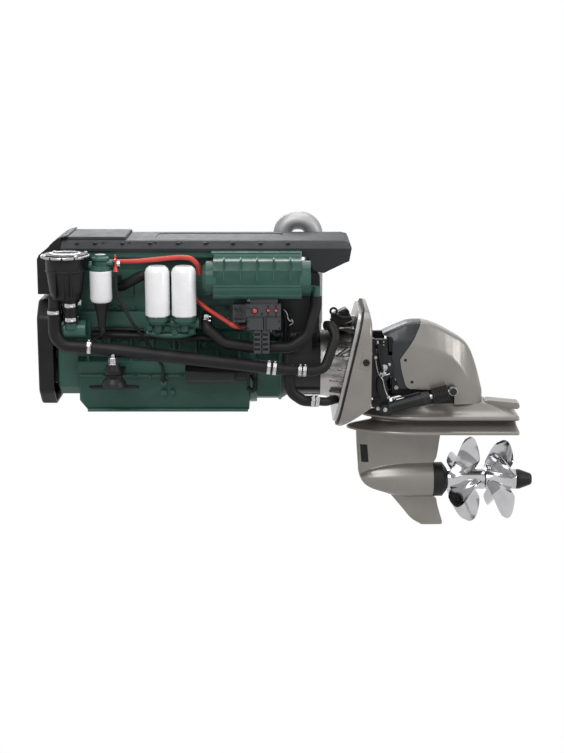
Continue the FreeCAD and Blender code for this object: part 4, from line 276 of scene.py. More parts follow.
class Kit:
    """Gathers formed solids into one mesh."""

    def __init__(self):
        self.build = bmesh.new()

    def stack(self, rings, close=True, cap=True):
        """Joins rings of points into a closed skin."""
        rows = [[self.build.verts.new(Vector(point) * MM) for point in ring] for ring in rings]
        count = len(rows[0])
        for low, high in zip(rows, rows[1:]):
            for number in range(count if close else count - 1):
                other = (number + 1) % count
                self.build.faces.new((low[number], low[other], high[other], high[number]))
        if cap:
            self.build.faces.new(list(reversed(rows[0])))
            self.build.faces.new(rows[-1])
        return rows

    def lathe(self, centre, along, profile, steps=28, turn=0.0):
        """Turns a profile of heights and radii about an axis."""
        frame = Vector(along).to_track_quat("Z", "Y").to_matrix()
        centre = Vector(centre)
        rings = []
        for height, radius in profile:
            ring = []
            for step in range(steps):
                angle = 2 * math.pi * step / steps + turn
                ring.append(centre + frame @ Vector((radius * math.cos(angle), radius * math.sin(angle),
                                                     height)))
            rings.append(ring)
        self.stack(rings)

    def bolt(self, centre, along, size=6.0, washer=True):
        """A hex head with a chamfered top on a washer."""
        base = 0.0
        if washer:
            self.lathe(centre, along, [(-0.5, size * 1.55), (1.1, size * 1.55), (1.5, size * 1.45)], 20)
            base = 1.2
        self.lathe(centre, along, [(base - 0.4, size), (base + size * 0.75, size),
                                   (base + size * 0.95, size * 0.82)], 6)

    def block(self, low, high, lean=None):
        corners = [(x, y, z) for z in (low[2], high[2]) for x, y in
                   ((low[0], low[1]), (high[0], low[1]), (high[0], high[1]), (low[0], high[1]))]
        if lean is not None:
            middle = (Vector(low) + Vector(high)) / 2
            corners = [middle + lean @ (Vector(corner) - middle) for corner in corners]
        self.stack([corners[:4], corners[4:]])

    def tube(self, points, radius, steps=12, parts=6):
        """A round bar along a smooth curve, its section carried without twist."""
        line = smooth_line(points, parts)
        rings = []
        side = None
        for number, spot in enumerate(line):
            ahead = line[min(number + 1, len(line) - 1)] - line[max(number - 1, 0)]
            ahead.normalize()
            if side is None:
                side = ahead.orthogonal()
            side = (side - ahead * side.dot(ahead)).normalized()
            across = ahead.cross(side)
            turns = [2 * math.pi * step / steps for step in range(steps)]
            rings.append([spot + (side * math.cos(turn) + across * math.sin(turn)) * radius
                          for turn in turns])
        self.stack(rings)

    def hoop(self, centre, along, radius, thick, steps=28):
        """A closed ring of round bar."""
        frame = Vector(along).to_track_quat("Z", "Y").to_matrix()
        rows = []
        for step in range(steps):
            angle = 2 * math.pi * step / steps
            out = Vector((math.cos(angle), math.sin(angle), 0))
            rows.append([Vector(centre) + frame @ (out * (radius + thick * math.cos(2 * math.pi * n / 10))
                                                   + Vector((0, 0, thick * math.sin(2 * math.pi * n / 10))))
                         for n in range(10)])
        rows = self.stack(rows, cap=False)
        for n in range(10):
            self.build.faces.new((rows[-1][n], rows[-1][(n + 1) % 10], rows[0][(n + 1) % 10], rows[0][n]))

    def plate(self, points, low, high, plane="XZ"):
        """An upright or flat outline given a thickness; concave outlines are welcome."""
        place = {"XZ": lambda a, b, c: Vector((a, c, b)), "YZ": lambda a, b, c: Vector((c, a, b)),
                 "XY": lambda a, b, c: Vector((a, b, c))}[plane]
        self.stack([[place(a, b, low) for a, b in points], [place(a, b, high) for a, b in points]])

    def piece(self, name, material, body, slot, bevel=0.0, sharp=32.0, replaces=(), segments=2):
        bmesh.ops.recalc_face_normals(self.build, faces=self.build.faces)
        mesh = bpy.data.meshes.new(name)
        self.build.to_mesh(mesh)
        self.build.free()
        mesh.materials.append(material)
        mesh.shade_smooth()
        mesh.set_sharp_from_angle(angle=math.radians(sharp))
        item = bpy.data.objects.new(name, mesh)
        bpy.context.scene.collection.objects.link(item)
        if bevel:
            soft = item.modifiers.new("bevel", "BEVEL")
            soft.width = bevel * MM
            soft.segments = segments
            soft.limit_method = "ANGLE"
            soft.angle_limit = math.radians(sharp)
            soft.harden_normals = False
        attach(item, body)
        if replaces:
            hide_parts(*replaces)
        return item


# Propellers: polished blades with a cupped face, on a turned hub
PROP_Z = -484.0
HUB_ROOT, PITCH_PER_TIP, RAKE = 22.0, 3.9, 16
# share of the blade's height, chord, thickness, skew in degrees
BLADE = ((0.0, 100, 13, -4), (0.16, 132, 11.5, -2), (0.3, 150, 10, 0), (0.45, 154, 8.6, 3),
         (0.58, 152, 7.5, 6), (0.7, 146, 6.4, 9), (0.80, 134, 5.5, 12), (0.88, 117, 4.6, 15),
         (0.94, 94, 3.8, 17), (0.98, 66, 3.2, 19), (1.0, 40, 2.6, 20.5))


def blade_rings(tip, middle, hand, turn):
    """Sections of one blade from root to tip, set at the pitch that belongs to their radius."""
    rings = []
    root = HUB_ROOT
    pitch = PITCH_PER_TIP * tip
    for step in range(31):
        share = math.sin(math.pi / 2 * step / 30)
        chord, thick, skew = between(BLADE, share)
        radius = root + (tip - root - 2) * share
        slope = math.atan(pitch / (2 * math.pi * max(radius, 0.36 * tip)))
        chord *= tip / 170
        thick += 7 * math.exp(-abs(radius - 41) / 6)
        ring = []
        count = 15
        for number in range(2 * count):
            face = number >= count
            t = (number % count) / count
            part = 0.5 - 0.5 * math.cos(math.pi * t)
            part = 1 - part if face else part
            width = math.sqrt(max(0.0, 1 - (2 * part - 1) ** 2)) ** 1.2
            lift = thick * ((-0.5 if face else 0.5) * width + 0.5 * (1 - (2 * part - 1) ** 2))
            along = chord * (part - 0.5)
            x = along * math.sin(slope) + lift * math.cos(slope) + middle + RAKE * share
            across = along * math.cos(slope) - lift * math.sin(slope)
            angle = math.radians(skew)
            y = hand * (across * math.cos(angle) + radius * math.sin(angle))
            z = radius * math.cos(angle) - across * math.sin(angle)
            ring.append((x, y * math.cos(turn) - z * math.sin(turn),
                         PROP_Z + y * math.sin(turn) + z * math.cos(turn)))
        rings.append(ring)
    return rings


def propeller(name, start, length, tip, bore, hand, first, forward, body):
    kit = Kit()
    for number in range(4):
        turn = math.radians(first + 90 * number)
        kit.stack(blade_rings(tip, start + length / 2 - forward, hand, turn))
    kit.lathe((start, 0, PROP_Z), AFT, [(0, bore), (0, 38.5), (0.6, 40), (2.5, 41), (length / 2 - 1, 40.4),
                                        (length - 3, 41), (length - 0.8, 40.2), (length, 38.6),
                                        (length, bore)], 56)
    kit.piece(name + "_bright", STEEL, body, "polished_steel", replaces=(name,), sharp=38)


propeller("front_propeller", 402.0, 152.0, 176.0, 26.5, 1, 22, 12, "front_propeller")
propeller("rear_propeller", 557.0, 124.0, 164.0, 15.5, -1, 35, 8, "rear_propeller")


# Drive leg: strut, torpedo and skeg as one flowing casting
# height, fore or aft edge of the leg
LEADING = ((-676, 300), (-668, 289), (-661, 273), (-642, 251), (-608, 224), (-580, 201), (-560, 184),
           (-545, 171), (-534, 157), (-527, 138), (-521, 117), (-514, 96), (-506, 79), (-496, 64), (-484, 54),
           (-468, 46), (-447, 41), (-405, 38), (-337, 33), (-289, 31), (-262, 30))
TRAILING = ((-676, 384), (-667, 388), (-628, 376), (-593, 366), (-565, 361), (-553, 347), (-545, 343),
            (-420, 343), (-412, 345), (-404, 352), (-392, 358), (-371, 362), (-330, 367), (-301, 371),
            (-262, 376))


TORPEDO_NOSE, TORPEDO_TAPER, TORPEDO_RADIUS, FILLET = 34, 250, 68.0, 60.0


def leg_half(x, z, nose, tail):
    """Half thickness of the leg at a spot: the strut or skeg and the torpedo, blended."""
    t = min(max((x - nose) / max(tail - nose, 1), 0.0), 1.0)
    foil = 2.6 * (0.2969 * math.sqrt(t) - 0.126 * t - 0.3516 * t * t
                  + 0.2843 * t ** 3 - 0.1015 * t ** 4) * 1.92
    full = 38.0 if z > PROP_Z else between(((-676, 4.5), (-620, 8.0), (-560, 12.5), (-510, 24), (-484, 38)),
                                           z)[0]
    strut = full * foil + 1.0
    u = min(max((x - TORPEDO_NOSE) / TORPEDO_TAPER, 0.0), 1.0)
    radius = TORPEDO_RADIUS * math.sqrt(max(0.0, 1 - (1 - u) ** 2.3))
    inside = radius * radius - (z - PROP_Z) ** 2
    torpedo = math.sqrt(inside) if inside > 0 else -0.6 * math.sqrt(-inside)
    reach = FILLET * min(1.0, t * 6) * min(abs(z - PROP_Z) / FILLET, 1.0)
    if reach < 0.5:
        return max(strut, torpedo)
    gap = max(reach - abs(strut - torpedo), 0.0) / reach
    return max(strut, torpedo) + gap * gap * reach * 0.25


def leg():
    heights = []
    z = -262.0
    while z > -676:
        heights.append(z)
        z -= 3.0 if -560 < z < -400 else 6.0
    heights.append(-676.0)
    columns = [0.5 - 0.5 * math.cos(math.pi * n / 96) for n in range(81)]
    last = columns[-1]
    columns = [share / last for share in columns]
    kit = Kit()
    rings = []
    for z in reversed(heights):
        nose, tail = between(LEADING, z)[0], between(TRAILING, z)[0]
        port = []
        for share in columns:
            x = nose + (tail - nose) * share
            half = 0.0 if share == 0 else leg_half(x, z, nose, tail) * min(1.0, (share * 90) ** 0.5)
            port.append((x, -half, z))
        rings.append(port + [(x, -y, z) for x, y, z in reversed(port[1:])])
    kit.stack(rings)
    kit.piece("leg_casting", GREY, "drive", "grey_paint", replaces=("lower_housing",), sharp=46)


leg()


# Cowl and shroud: one smooth body in upright sections, cut to the two outlines and hollowed
# place along, foot, half width at the foot, crease, half width there, top, half width at the top
SECTIONS = ((119, -152, 73.5, 96, 73.5, 122, 46), (150, -152, 78, 97, 77, 137, 49),
            (186, -152, 81.5, 98, 80, 153, 50), (224, -152, 83.6, 96, 81.6, 168, 50),
            (250, -152, 85.6, 91, 84, 171.5, 50), (280, -152, 87.6, 82, 85.6, 172, 49),
            (312, -152, 89, 73, 86.6, 166, 47), (343, -152, 89.6, 62, 86.8, 154.5, 45),
            (378, -152, 89.8, 48, 86.2, 138, 43), (410, -152, 89.4, 31, 85, 120, 41),
            (436, -152, 88, 4, 83, 105, 38), (458, -152, 86, -28, 80, 88, 34),
            (472, -152, 82.5, -48, 75.5, 71, 31), (484, -152, 78, -62, 69, 49, 28),
            (496, -152, 70, -74, 61, 18, 25), (508, -152, 60, -84, 51, -18, 21),
            (518, -152, 50, -92, 42, -54, 18), (526, -152, 40, -98, 34, -86, 15),
            (530, -152, 33, -104, 27, -101, 12))


def hood_ring(x, inset=0.0, parts=7):
    """Upright section of the hood, with its crease and its top edge rounded."""
    low, half_low, crease, half, top, half_top = between(SECTIONS, x)
    half_low, half, half_top, top = half_low - inset, half - inset, half_top - inset, top - inset
    crease = min(crease, top - 2)
    corners = [Vector((half_low, low)), Vector((half, crease)), Vector((half_top, top)),
               Vector((0, top + 2.5))]
    line = [corners[0], corners[0].lerp(corners[1], 0.3), corners[0].lerp(corners[1], 0.6)]
    for before, corner, after, reach in (
            (corners[0], corners[1], corners[2], 16.0), (corners[1], corners[2], corners[3], 15.0)):
        back = min(reach, (corner - before).length * 0.45)
        ahead = min(reach, (after - corner).length * 0.45)
        start = corner + (before - corner).normalized() * back
        end = corner + (after - corner).normalized() * ahead
        for step in range(parts + 1):
            t = step / parts
            line.append(start.lerp(corner, t).lerp(corner.lerp(end, t), t))
        if corner is corners[1]:
            line.append(end.lerp(corners[2], 0.45))
    line.append(Vector((0, top + 2)))
    port = [(x, -y, z) for y, z in line]
    return port + [(x, -y, z) for x, y, z in reversed(port[:-1])]


def hood_half(x, z):
    """Half width of the cowl's flank at a spot below its crease."""
    low, half_low, crease, half = between(SECTIONS, x)[:4]
    return half_low + (half - half_low) * min(max((z - low) / (crease - low), 0), 1)


def hood_body(inset):
    kit = Kit()
    places = [119 + inset * 0.2 + step * (530 - inset - 119) / 72 for step in range(73)]
    kit.stack([hood_ring(x, inset) for x in places])
    return kit


def solid_object(kit, name):
    bmesh.ops.recalc_face_normals(kit.build, faces=kit.build.faces)
    mesh = bpy.data.meshes.new(name)
    kit.build.to_mesh(mesh)
    kit.build.free()
    item = bpy.data.objects.new(name, mesh)
    bpy.context.scene.collection.objects.link(item)
    return item


def carve(name, base, cuts, material, body, replaces=(), bevel=0.0, sharp=32.0):
    """Cuts or trims a solid with others, and keeps the outcome as one piece."""
    base = solid_object(base, name)
    tools = []
    for kit, way in cuts:
        tool = solid_object(kit, name + "_tool")
        tools.append(tool)
        step = base.modifiers.new("cut", "BOOLEAN")
        step.operation = way
        step.solver = "EXACT"
        step.object = tool
    bpy.context.view_layer.update()
    made = bpy.data.meshes.new_from_object(base.evaluated_get(bpy.context.evaluated_depsgraph_get()))
    base.modifiers.clear()
    old = base.data
    base.data = made
    made.name = name
    bpy.data.meshes.remove(old)
    for tool in tools:
        bpy.data.meshes.remove(tool.data)
    made.materials.clear()
    made.materials.append(material)
    made.shade_smooth()
    made.set_sharp_from_angle(angle=math.radians(sharp))
    if bevel:
        soft = base.modifiers.new("bevel", "BEVEL")
        soft.width = bevel * MM
        soft.segments = 2
        soft.limit_method = "ANGLE"
        soft.angle_limit = math.radians(50)
    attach(base, body)
    if replaces:
        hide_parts(*replaces)
    return base


def side_prism(points, low=-130, high=130):
    kit = Kit()
    kit.plate(points, low, high)
    return kit


COWL_SIDE = ((281, 190), (280.5, 174), (273, 152), (254, 112), (231, 77), (211, 48), (198, 27), (203, -10),
             (212, -45), (219, -70), (226, -83), (239, -90), (325, -93), (408, -97), (413, -101), (415, -110),
             (415, -152), (540, -152), (540, 190))
SHROUD_SIDE = ((130, 121), (131, 127), (190, 160), (224, 180), (279, 180), (278.6, 173), (271, 152),
               (252, 112), (229, 77), (209, 48), (196, 27), (201, -10), (210, -45), (217, -70), (224, -84),
               (237, -91), (200, -91), (176, -40), (167, 20), (167, 92), (172, 96), (168, 113))


def hood():
    """Two thin skins cut from one body; the shroud lies a little deeper, and narrower than the fork's arms."""
    carve("cowl_skin", hood_body(0.0), [(hood_body(4.0), "DIFFERENCE"), (side_prism(COWL_SIDE), "INTERSECT")],
                 GREY, "drive", ("rear_cowl",), 0.9, 40)
    carve("shroud_skin", hood_body(0.5), [(hood_body(3.6), "DIFFERENCE"),
                                          (side_prism(SHROUD_SIDE, -78.8, 78.8), "INTERSECT")], SHROUD,
          "drive", ("front_shroud",), 0.8, 40)


hood()


# Deck and anti-ventilation plate: plan outlines stacked with round edges and a hollow waist
# height, tip, where the full width starts, aft end, half width
PLANS = ((-152, 232, 350, 536, 70), (-163, 188, 338, 570, 74.5), (-178, 138, 322, 612, 85),
         (-189, 92, 308, 650, 101), (-195, 64, 302, 668, 111.5), (-198.5, 54, 300, 671, 115),
         (-202, 50.8, 300, 672, 117), (-206, 50, 300, 672, 118), (-210, 51, 300, 671.6, 117),
         (-213, 55, 300, 670, 112.5), (-215.5, 66, 300, 668, 98), (-220, 84, 300, 667, 80),
         (-226, 94, 300, 666, 68), (-232, 88, 297, 666, 65), (-240, 50, 288, 667, 80),
         (-247, 20, 280, 669, 101), (-252, 2, 272, 671, 118), (-256, -5, 270, 672, 128.5),
         (-260, -8, 270, 672, 131.4), (-264, -8, 270, 672, 132), (-267, -7, 270, 671.5, 131),
         (-268, -4, 270, 669, 128))


def deck_ring(z, tip, full, aft, half):
    """Outline of the plates at one height: a full bow, straight flanks and rounded aft corners."""
    line = []
    for step in range(27):
        share = (step / 26) ** 1.9
        line.append((tip + (full - tip) * share, half * math.sin(math.pi / 2 * share) ** 0.62))
    line += [(full + (aft - 9 - full) * step / 10, half) for step in range(1, 11)]
    for step in range(1, 6):
        angle = math.pi / 2 * step / 5
        line.append((aft - 9 + 9 * math.sin(angle), half - 9 + 9 * math.cos(angle)))
    line += [(aft, half * 0.5), (aft, 0.0)]
    port = [(x, -y, z) for x, y in line]
    return port + [(x, -y, z) for x, y, z in reversed(port[1:-1])]


def deck():
    kit = Kit()
    kit.stack([deck_ring(*plan) for plan in PLANS])
    kit.piece("deck_casting", GREY, "drive", "grey_paint", replaces=("intermediate_housing",), sharp=46)


deck()


# Small fittings of the drive
def inlet_grilles():
    kit = Kit()
    top, low = (47.0, 76.0, -335.0), (53.0, 84.0, -408.0)
    for side in (-1, 1):
        rows = []
        for step in range(16):
            share = step / 15
            z = top[2] + (low[2] - top[2]) * share
            nose, tail = between(LEADING, z)[0], between(TRAILING, z)[0]
            proud = 1.4 if step % 2 else 0.3
            row = []
            for number in range(8):
                x = top[0] + (low[0] - top[0]) * share + (top[1] - top[0]) * number / 7
                row.append((x, side * (leg_half(x, z, nose, tail) + proud), z))
            back = [(x, y - side * 4, z) for x, y, z in reversed(row)]
            rows.append(row + back)
        kit.stack(rows)
        for step in range(9):
            z = top[2] - 4 - 8.2 * step
            nose, tail = between(LEADING, z)[0], between(TRAILING, z)[0]
            x = nose + 5.5
            kit.lathe((x, side * leg_half(x, z, nose, tail), z), (-0.55, side, 0), [(-2, 1.5), (0.5, 1.5)], 8)
    kit.piece("inlet_grilles", PLASTIC, "drive", "black_plastic")


inlet_grilles()


def drive_fittings():
    """Cowl screws, a black plate painted as the shadow behind each trim cylinder, a black block painted as the
    shade in the gap between shroud and fork, and the housing's bolts.
    """
    dark = Kit()
    for side in (-1, 1):
        along = Vector((0, side, 0))
        for x, z in ((219, 26), (246, -62)):
            face = hood_half(x, z)
            dark.lathe((x, side * (face - 1.5), z), along, [(0, 6.2), (2.0, 6.2), (2.6, 5.4)], 18)
        # A black plate on each flank of the cowl: painted shadow behind the trim cylinder.
        dark.plate([(252, -98), (398, -102), (404, -150), (262, -150)], side * 68.5, side * 73)
    # A black block inside the shroud's front: painted shade filling the gap between shroud and fork.
    dark.plate([(152, 58), (168, 58), (169, 112), (160, 118), (153, 112)], -70, 70)
    dark.lathe((595, -8, -169.5), (0.12, 0, 1), [(-2, 4), (0.6, 4)], 14)
    dark.lathe((619, -8, -172.5), (0.12, 0, 1), [(-2, 4), (0.6, 4)], 14)
    dark.piece("drive_plugs_and_painted_shade", PLASTIC, "drive", "black_plastic", 0.5)

    bright = Kit()
    for side in (-1, 1):
        along = Vector((0, side, 0))
        bright.bolt((187, side * 68.5, -51), along, 5.5)
        bright.bolt((186, side * 68.5, -88), along, 5.5)
        bright.bolt((180, side * 68.5, 64), along, 5.5)
        for x in (560, 655):
            bright.bolt((x, side * 88, -197), UP, 3.6, washer=False)
    bright.piece("housing_bolts", PLATED, "drive", "plated_steel", 0.4)


drive_fittings()


def fork_fittings():
    """Hydraulic lines with their T fitting, hoses and nuts on both fork arms."""
    lines, black, nuts = Kit(), Kit(), Kit()
    for side in (-1, 1):
        y = side * 104
        along = Vector((0, side, 0))
        lines.tube([(106, y, 104), (103, y, 84), (107, y + side * 2, 57), (120, y + side * 3, 14),
                    (128, y, -20)], 2.8, 10, 8)
        lines.tube([(100, y, 30), (104, y, 4), (112, y, -24), (128, y, -48), (134, y, -72), (142, y, -98),
                    (152, y, -118)], 2.8, 10, 8)
        lines.tube([(128, y, -24), (140, y, -30), (156, y, -24)], 2.8, 10, 8)
        black.tube([(108, side * 100, 106), (110, side * 105, 70), (115, side * 107, 34),
                    (122, side * 108, 2), (124, side * 106, -18)], 6.2, 14, 8)
        black.tube([(116, side * 100, 96), (118, side * 104, 70), (120, side * 105, 44),
                    (118, side * 105, 20)], 5.0, 14, 8)
        black.tube([(112, side * 101, -40), (108, side * 105, -66), (112, side * 105, -96),
                    (124, side * 103, -124)], 5.4, 14, 8)
        black.lathe((112, side * 98.5, 84), along, [(0, 15), (7, 15), (9, 13)], 6)
        black.block((118, side * 98.5 - 1, 92), (142, side * 98.5 + side * 9, 112))
        black.block((96, side * 98.5 - 1, -150), (112, side * 98.5 + side * 7, -118))
        nuts.lathe((128, y, -22), (1, 0, -0.2), [(-11, 5), (-11, 8), (-3, 8), (-3, 6.4), (4, 6.4), (4, 9),
                                                 (13, 9), (13, 5)], 6)
        nuts.lathe((128, y, -22), (0.3, 0, 1), [(-14, 5), (-14, 7.5), (-6, 7.5), (6, 6), (14, 7.5), (14, 5)],
                   6)
        nuts.lathe((152, y, -118), (0.4, 0, -1), [(-4, 5), (-4, 7), (6, 7), (6, 5)], 6)
        nuts.lathe((107, y, 104), UP, [(-6, 5), (-6, 7), (4, 7), (4, 5)], 6)
        for x, z in ((130, 92), (130, 104)):
            nuts.bolt((x, side * 107, z), along, 3.0, washer=False)
        nuts.bolt((135, side * 103, 0), along, 8)
        nuts.bolt((112, side * 99, -166), along, 5)
        nuts.bolt((138, side * 141.6, -161), along, 5.5)
        nuts.bolt((154, side * 99, 12), along, 4)
        nuts.bolt((100, side * 99, 40), along, 4.5)
    lines.piece("hydraulic_lines", PLATED, "steering", "plated_steel", sharp=50)
    black.piece("fork_hoses", RUBBER, "steering", "black_rubber", 0.8, sharp=50)
    nuts.piece("fork_nuts", PLATED, "steering", "plated_steel", 0.4)


fork_fittings()


def cylinder_fittings():
    for name, side in (("port", -1), ("starboard", 1)):
        kit = Kit()
        middle = Vector((138, side * 126, -161))
        run = Vector((266, 0, 73)).normalized()
        up = Vector((-73, 0, 266)).normalized()
        for place, radius, wide in ((18, 24.6, 7), (150, 26.2, 9)):
            kit.lathe(middle + run * place, run, [(0, radius - 2), (0, radius), (wide, radius),
                                                  (wide, radius - 2)], 36)
        kit.tube([middle + run * 44 + up * 29, middle + run * 60 + up * 30, middle + run * 96 + up * 28.5,
                  middle + run * 148 + up * 28], 3.4, 10, 6)
        kit.piece("barrel_bands_" + name, DARK, "trim_barrel_" + name, "dark_paint", 0.5, sharp=50)
        bright = Kit()
        bright.lathe(middle + run * 44 + up * 29, up, [(-2, 5), (-2, 7.5), (5, 7.5), (5, 5)], 6)
        bright.piece("barrel_nut_" + name, PLATED, "trim_barrel_" + name, "plated_steel", 0.3)


cylinder_fittings()


# Shield fittings: plug pads, lifting eye, struts across the inner casting
SHIELD_LEAN = 12.5


def shield_fittings():
    tilt = Matrix.Rotation(math.radians(SHIELD_LEAN), 3, "Y")
    pads, black, cast = Kit(), Kit(), Kit()
    for side in (-1, 1):
        along = Vector((0, side, 0))
        pads.block((38, min(side * 213, side * 217), 16), (74, max(side * 213, side * 217), 86), tilt)
        black.lathe((57, side * 216.5, 44), along, [(0, 13), (1.5, 14.5), (6, 14.5), (7.5, 12.5), (7.5, 7),
                                                    (5.5, 6.5)], 6)
    pads.piece("plug_pads", GREY, "engine", "grey_paint", 2.0)
    black.hoop((-66, -84, 222), (0, 1, 0), 12.5, 4.6)
    black.block((-77.5, -85.6, 128), (-44.5, -84, 212))
    black.tube([(-60, -90, 212), (-40, -92, 200), (-22, -90, 196), (2, -84, 196)], 7, 14, 6)
    black.tube([(-6, -60, 214), (-16, -74, 226), (-34, -84, 214)], 4, 12, 6)
    black.piece("shield_plugs", PLASTIC, "engine", "black_plastic", 0.8)
    for side in (-1, 1):
        cast.tube([(-84, side * 118, 22), (-2, side * 150, 92)], 8.5, 16, 2)
        cast.tube([(-84, side * 118, -22), (-20, side * 150, -74)], 7.5, 16, 2)
    cast.piece("inner_struts", ALLOY, "engine", "cast_alloy", sharp=60)


shield_fittings()


# Engine fittings
def clamp_screws():
    """A worm screw on every hose clamp, found from the clamps themselves."""
    source = bmesh.new()
    source.from_mesh(nodes["hose_clamps"].data)
    bmesh.ops.remove_doubles(source, verts=source.verts, dist=0.00002)
    source.verts.ensure_lookup_table()
    seen, bands = set(), []
    for vert in source.verts:
        if vert.index in seen:
            continue
        island, queue = [], [vert]
        seen.add(vert.index)
        while queue:
            spot = queue.pop()
            island.append(spot.co.copy())
            for edge in spot.link_edges:
                other = edge.other_vert(spot)
                if other.index not in seen:
                    seen.add(other.index)
                    queue.append(other)
        bands.append(island)
    source.free()
    kit = Kit()
    for island in sorted(bands, key=lambda band: (round(band[0].x, 4), round(band[0].z, 4))):
        middle = sum(island, Vector()) / len(island)
        spread = Matrix(((0, 0, 0), (0, 0, 0), (0, 0, 0)))
        for spot in island:
            gap = spot - middle
            spread = spread + Matrix([[a * b for b in gap] for a in gap])
        swings = [math.pi * number / 36 for number in range(36)]
        rises = [math.pi * number / 24 - math.pi / 2 for number in range(25)]
        axes = [Vector((math.cos(swing) * math.cos(rise), math.sin(rise), math.sin(swing) * math.cos(rise)))
                for swing in swings for rise in rises]
        best = min(axes, key=lambda axis: axis.dot(spread @ axis))
        radius = max((spot - middle - best * best.dot(spot - middle)).length for spot in island)
        if radius > 0.06 or radius < 0.008:
            continue
        out = Vector((0, -1, 0.55))
        out = (out - best * best.dot(out)).normalized()
        run = best.cross(out)
        seat = (middle + out * radius) / MM
        frame = Matrix((best, run, out)).transposed()
        kit.block(seat + Vector((-6, -9, -1.5)), seat + Vector((6, 9, 5)), frame)
        kit.lathe(seat + run * 8 + out * 2.2, run, [(0, 3.4), (6, 3.4), (6, 4.6), (10, 4.6)], 8)
    kit.piece("clamp_screws", PLATED, "engine", "plated_steel", 0.5)


clamp_screws()


def cover_fittings():
    kit = Kit()
    for x in (-1052, -983, -878, -772, -666, -560, -455, -350, -245):
        for y in (-165, 165):
            kit.lathe((x, y, 497), UP, [(0, 8), (4.0, 8), (5.6, 6.5), (5.6, 3.4), (3.8, 3.2)], 16)
    for number in range(8):
        t = number / 7
        x, z = -1100 - 96 * t, 521 - 74 * t * t - 12 * t
        turn = Matrix.Rotation(math.radians(-18 - 44 * t), 3, "Y")
        kit.block((x - 8, -148, z - 3), (x + 8, 148, z + 3), turn)
    kit.piece("cover_louvres", PLASTIC, "engine", "black_plastic", 1.2)


def filter_fittings():
    green, black, bright = Kit(), Kit(), Kit()
    x, y = -950.0, -280.0
    green.lathe((x, y, 412), UP, [(0, 34), (6, 38), (16, 38), (20, 30), (34, 29), (40, 34), (48, 33),
                                  (54, 24), (60, 22), (62, 14)], 32)
    green.lathe((x + 20, y - 8, 440), AFT, [(0, 11), (26, 11), (28, 9)], 18)
    green.lathe((x - 30, y - 4, 432), -AFT, [(0, 14), (12, 14), (16, 10)], 18)
    for number in range(5):
        angle = math.radians(72 * number + 20)
        green.bolt((x + 33 * math.cos(angle), y + 33 * math.sin(angle), 428), UP, 4.0, washer=False)
    for place in (-738, -638):
        green.lathe((place, y, 236), -UP, [(0, 44), (10, 44), (14, 36), (26, 34), (32, 20)], 32)
        for number in range(6):
            angle = math.radians(60 * number + 15)
            green.bolt((place + 38 * math.cos(angle), y + 38 * math.sin(angle), 226), -UP, 4.0, washer=False)
    for place, z in ((-770, 190), (-742, 176), (-705, 188), (-676, 172), (-640, 184), (-612, 176)):
        green.lathe((place, -262, z), PORT, [(0, 13), (10, 13), (14, 10), (14, 5)], 20)
    green.tube([(-784, -250, 168), (-720, -262, 160), (-650, -262, 160), (-600, -246, 170)], 11, 16, 6)
    green.piece("filter_heads", GREEN, "engine", "green_paint", 0.8)
    black.lathe((x, y, 290), -UP, [(0, 30), (4, 31), (10, 27), (62, 17), (96, 13), (96, 9)], 28)
    black.tube([(x, y, 200), (x + 2, y, 178), (x - 6, y + 8, 160), (x - 26, y + 26, 148),
                (x - 40, y + 60, 142)], 11, 16, 8)
    black.piece("filter_drain", RUBBER, "engine", "black_rubber", 0.8, sharp=50)
    bright.lathe((-888, -281, 436), AFT, [(0, 9), (0, 12), (12, 12), (12, 9)], 24)
    for place in (-738, -638):
        bright.lathe((place, y, 238), UP, [(0, 46.6), (0, 47.6), (4, 47.6), (4, 46.6)], 48)
    bright.piece("filter_rings", PLATED, "engine", "plated_steel")


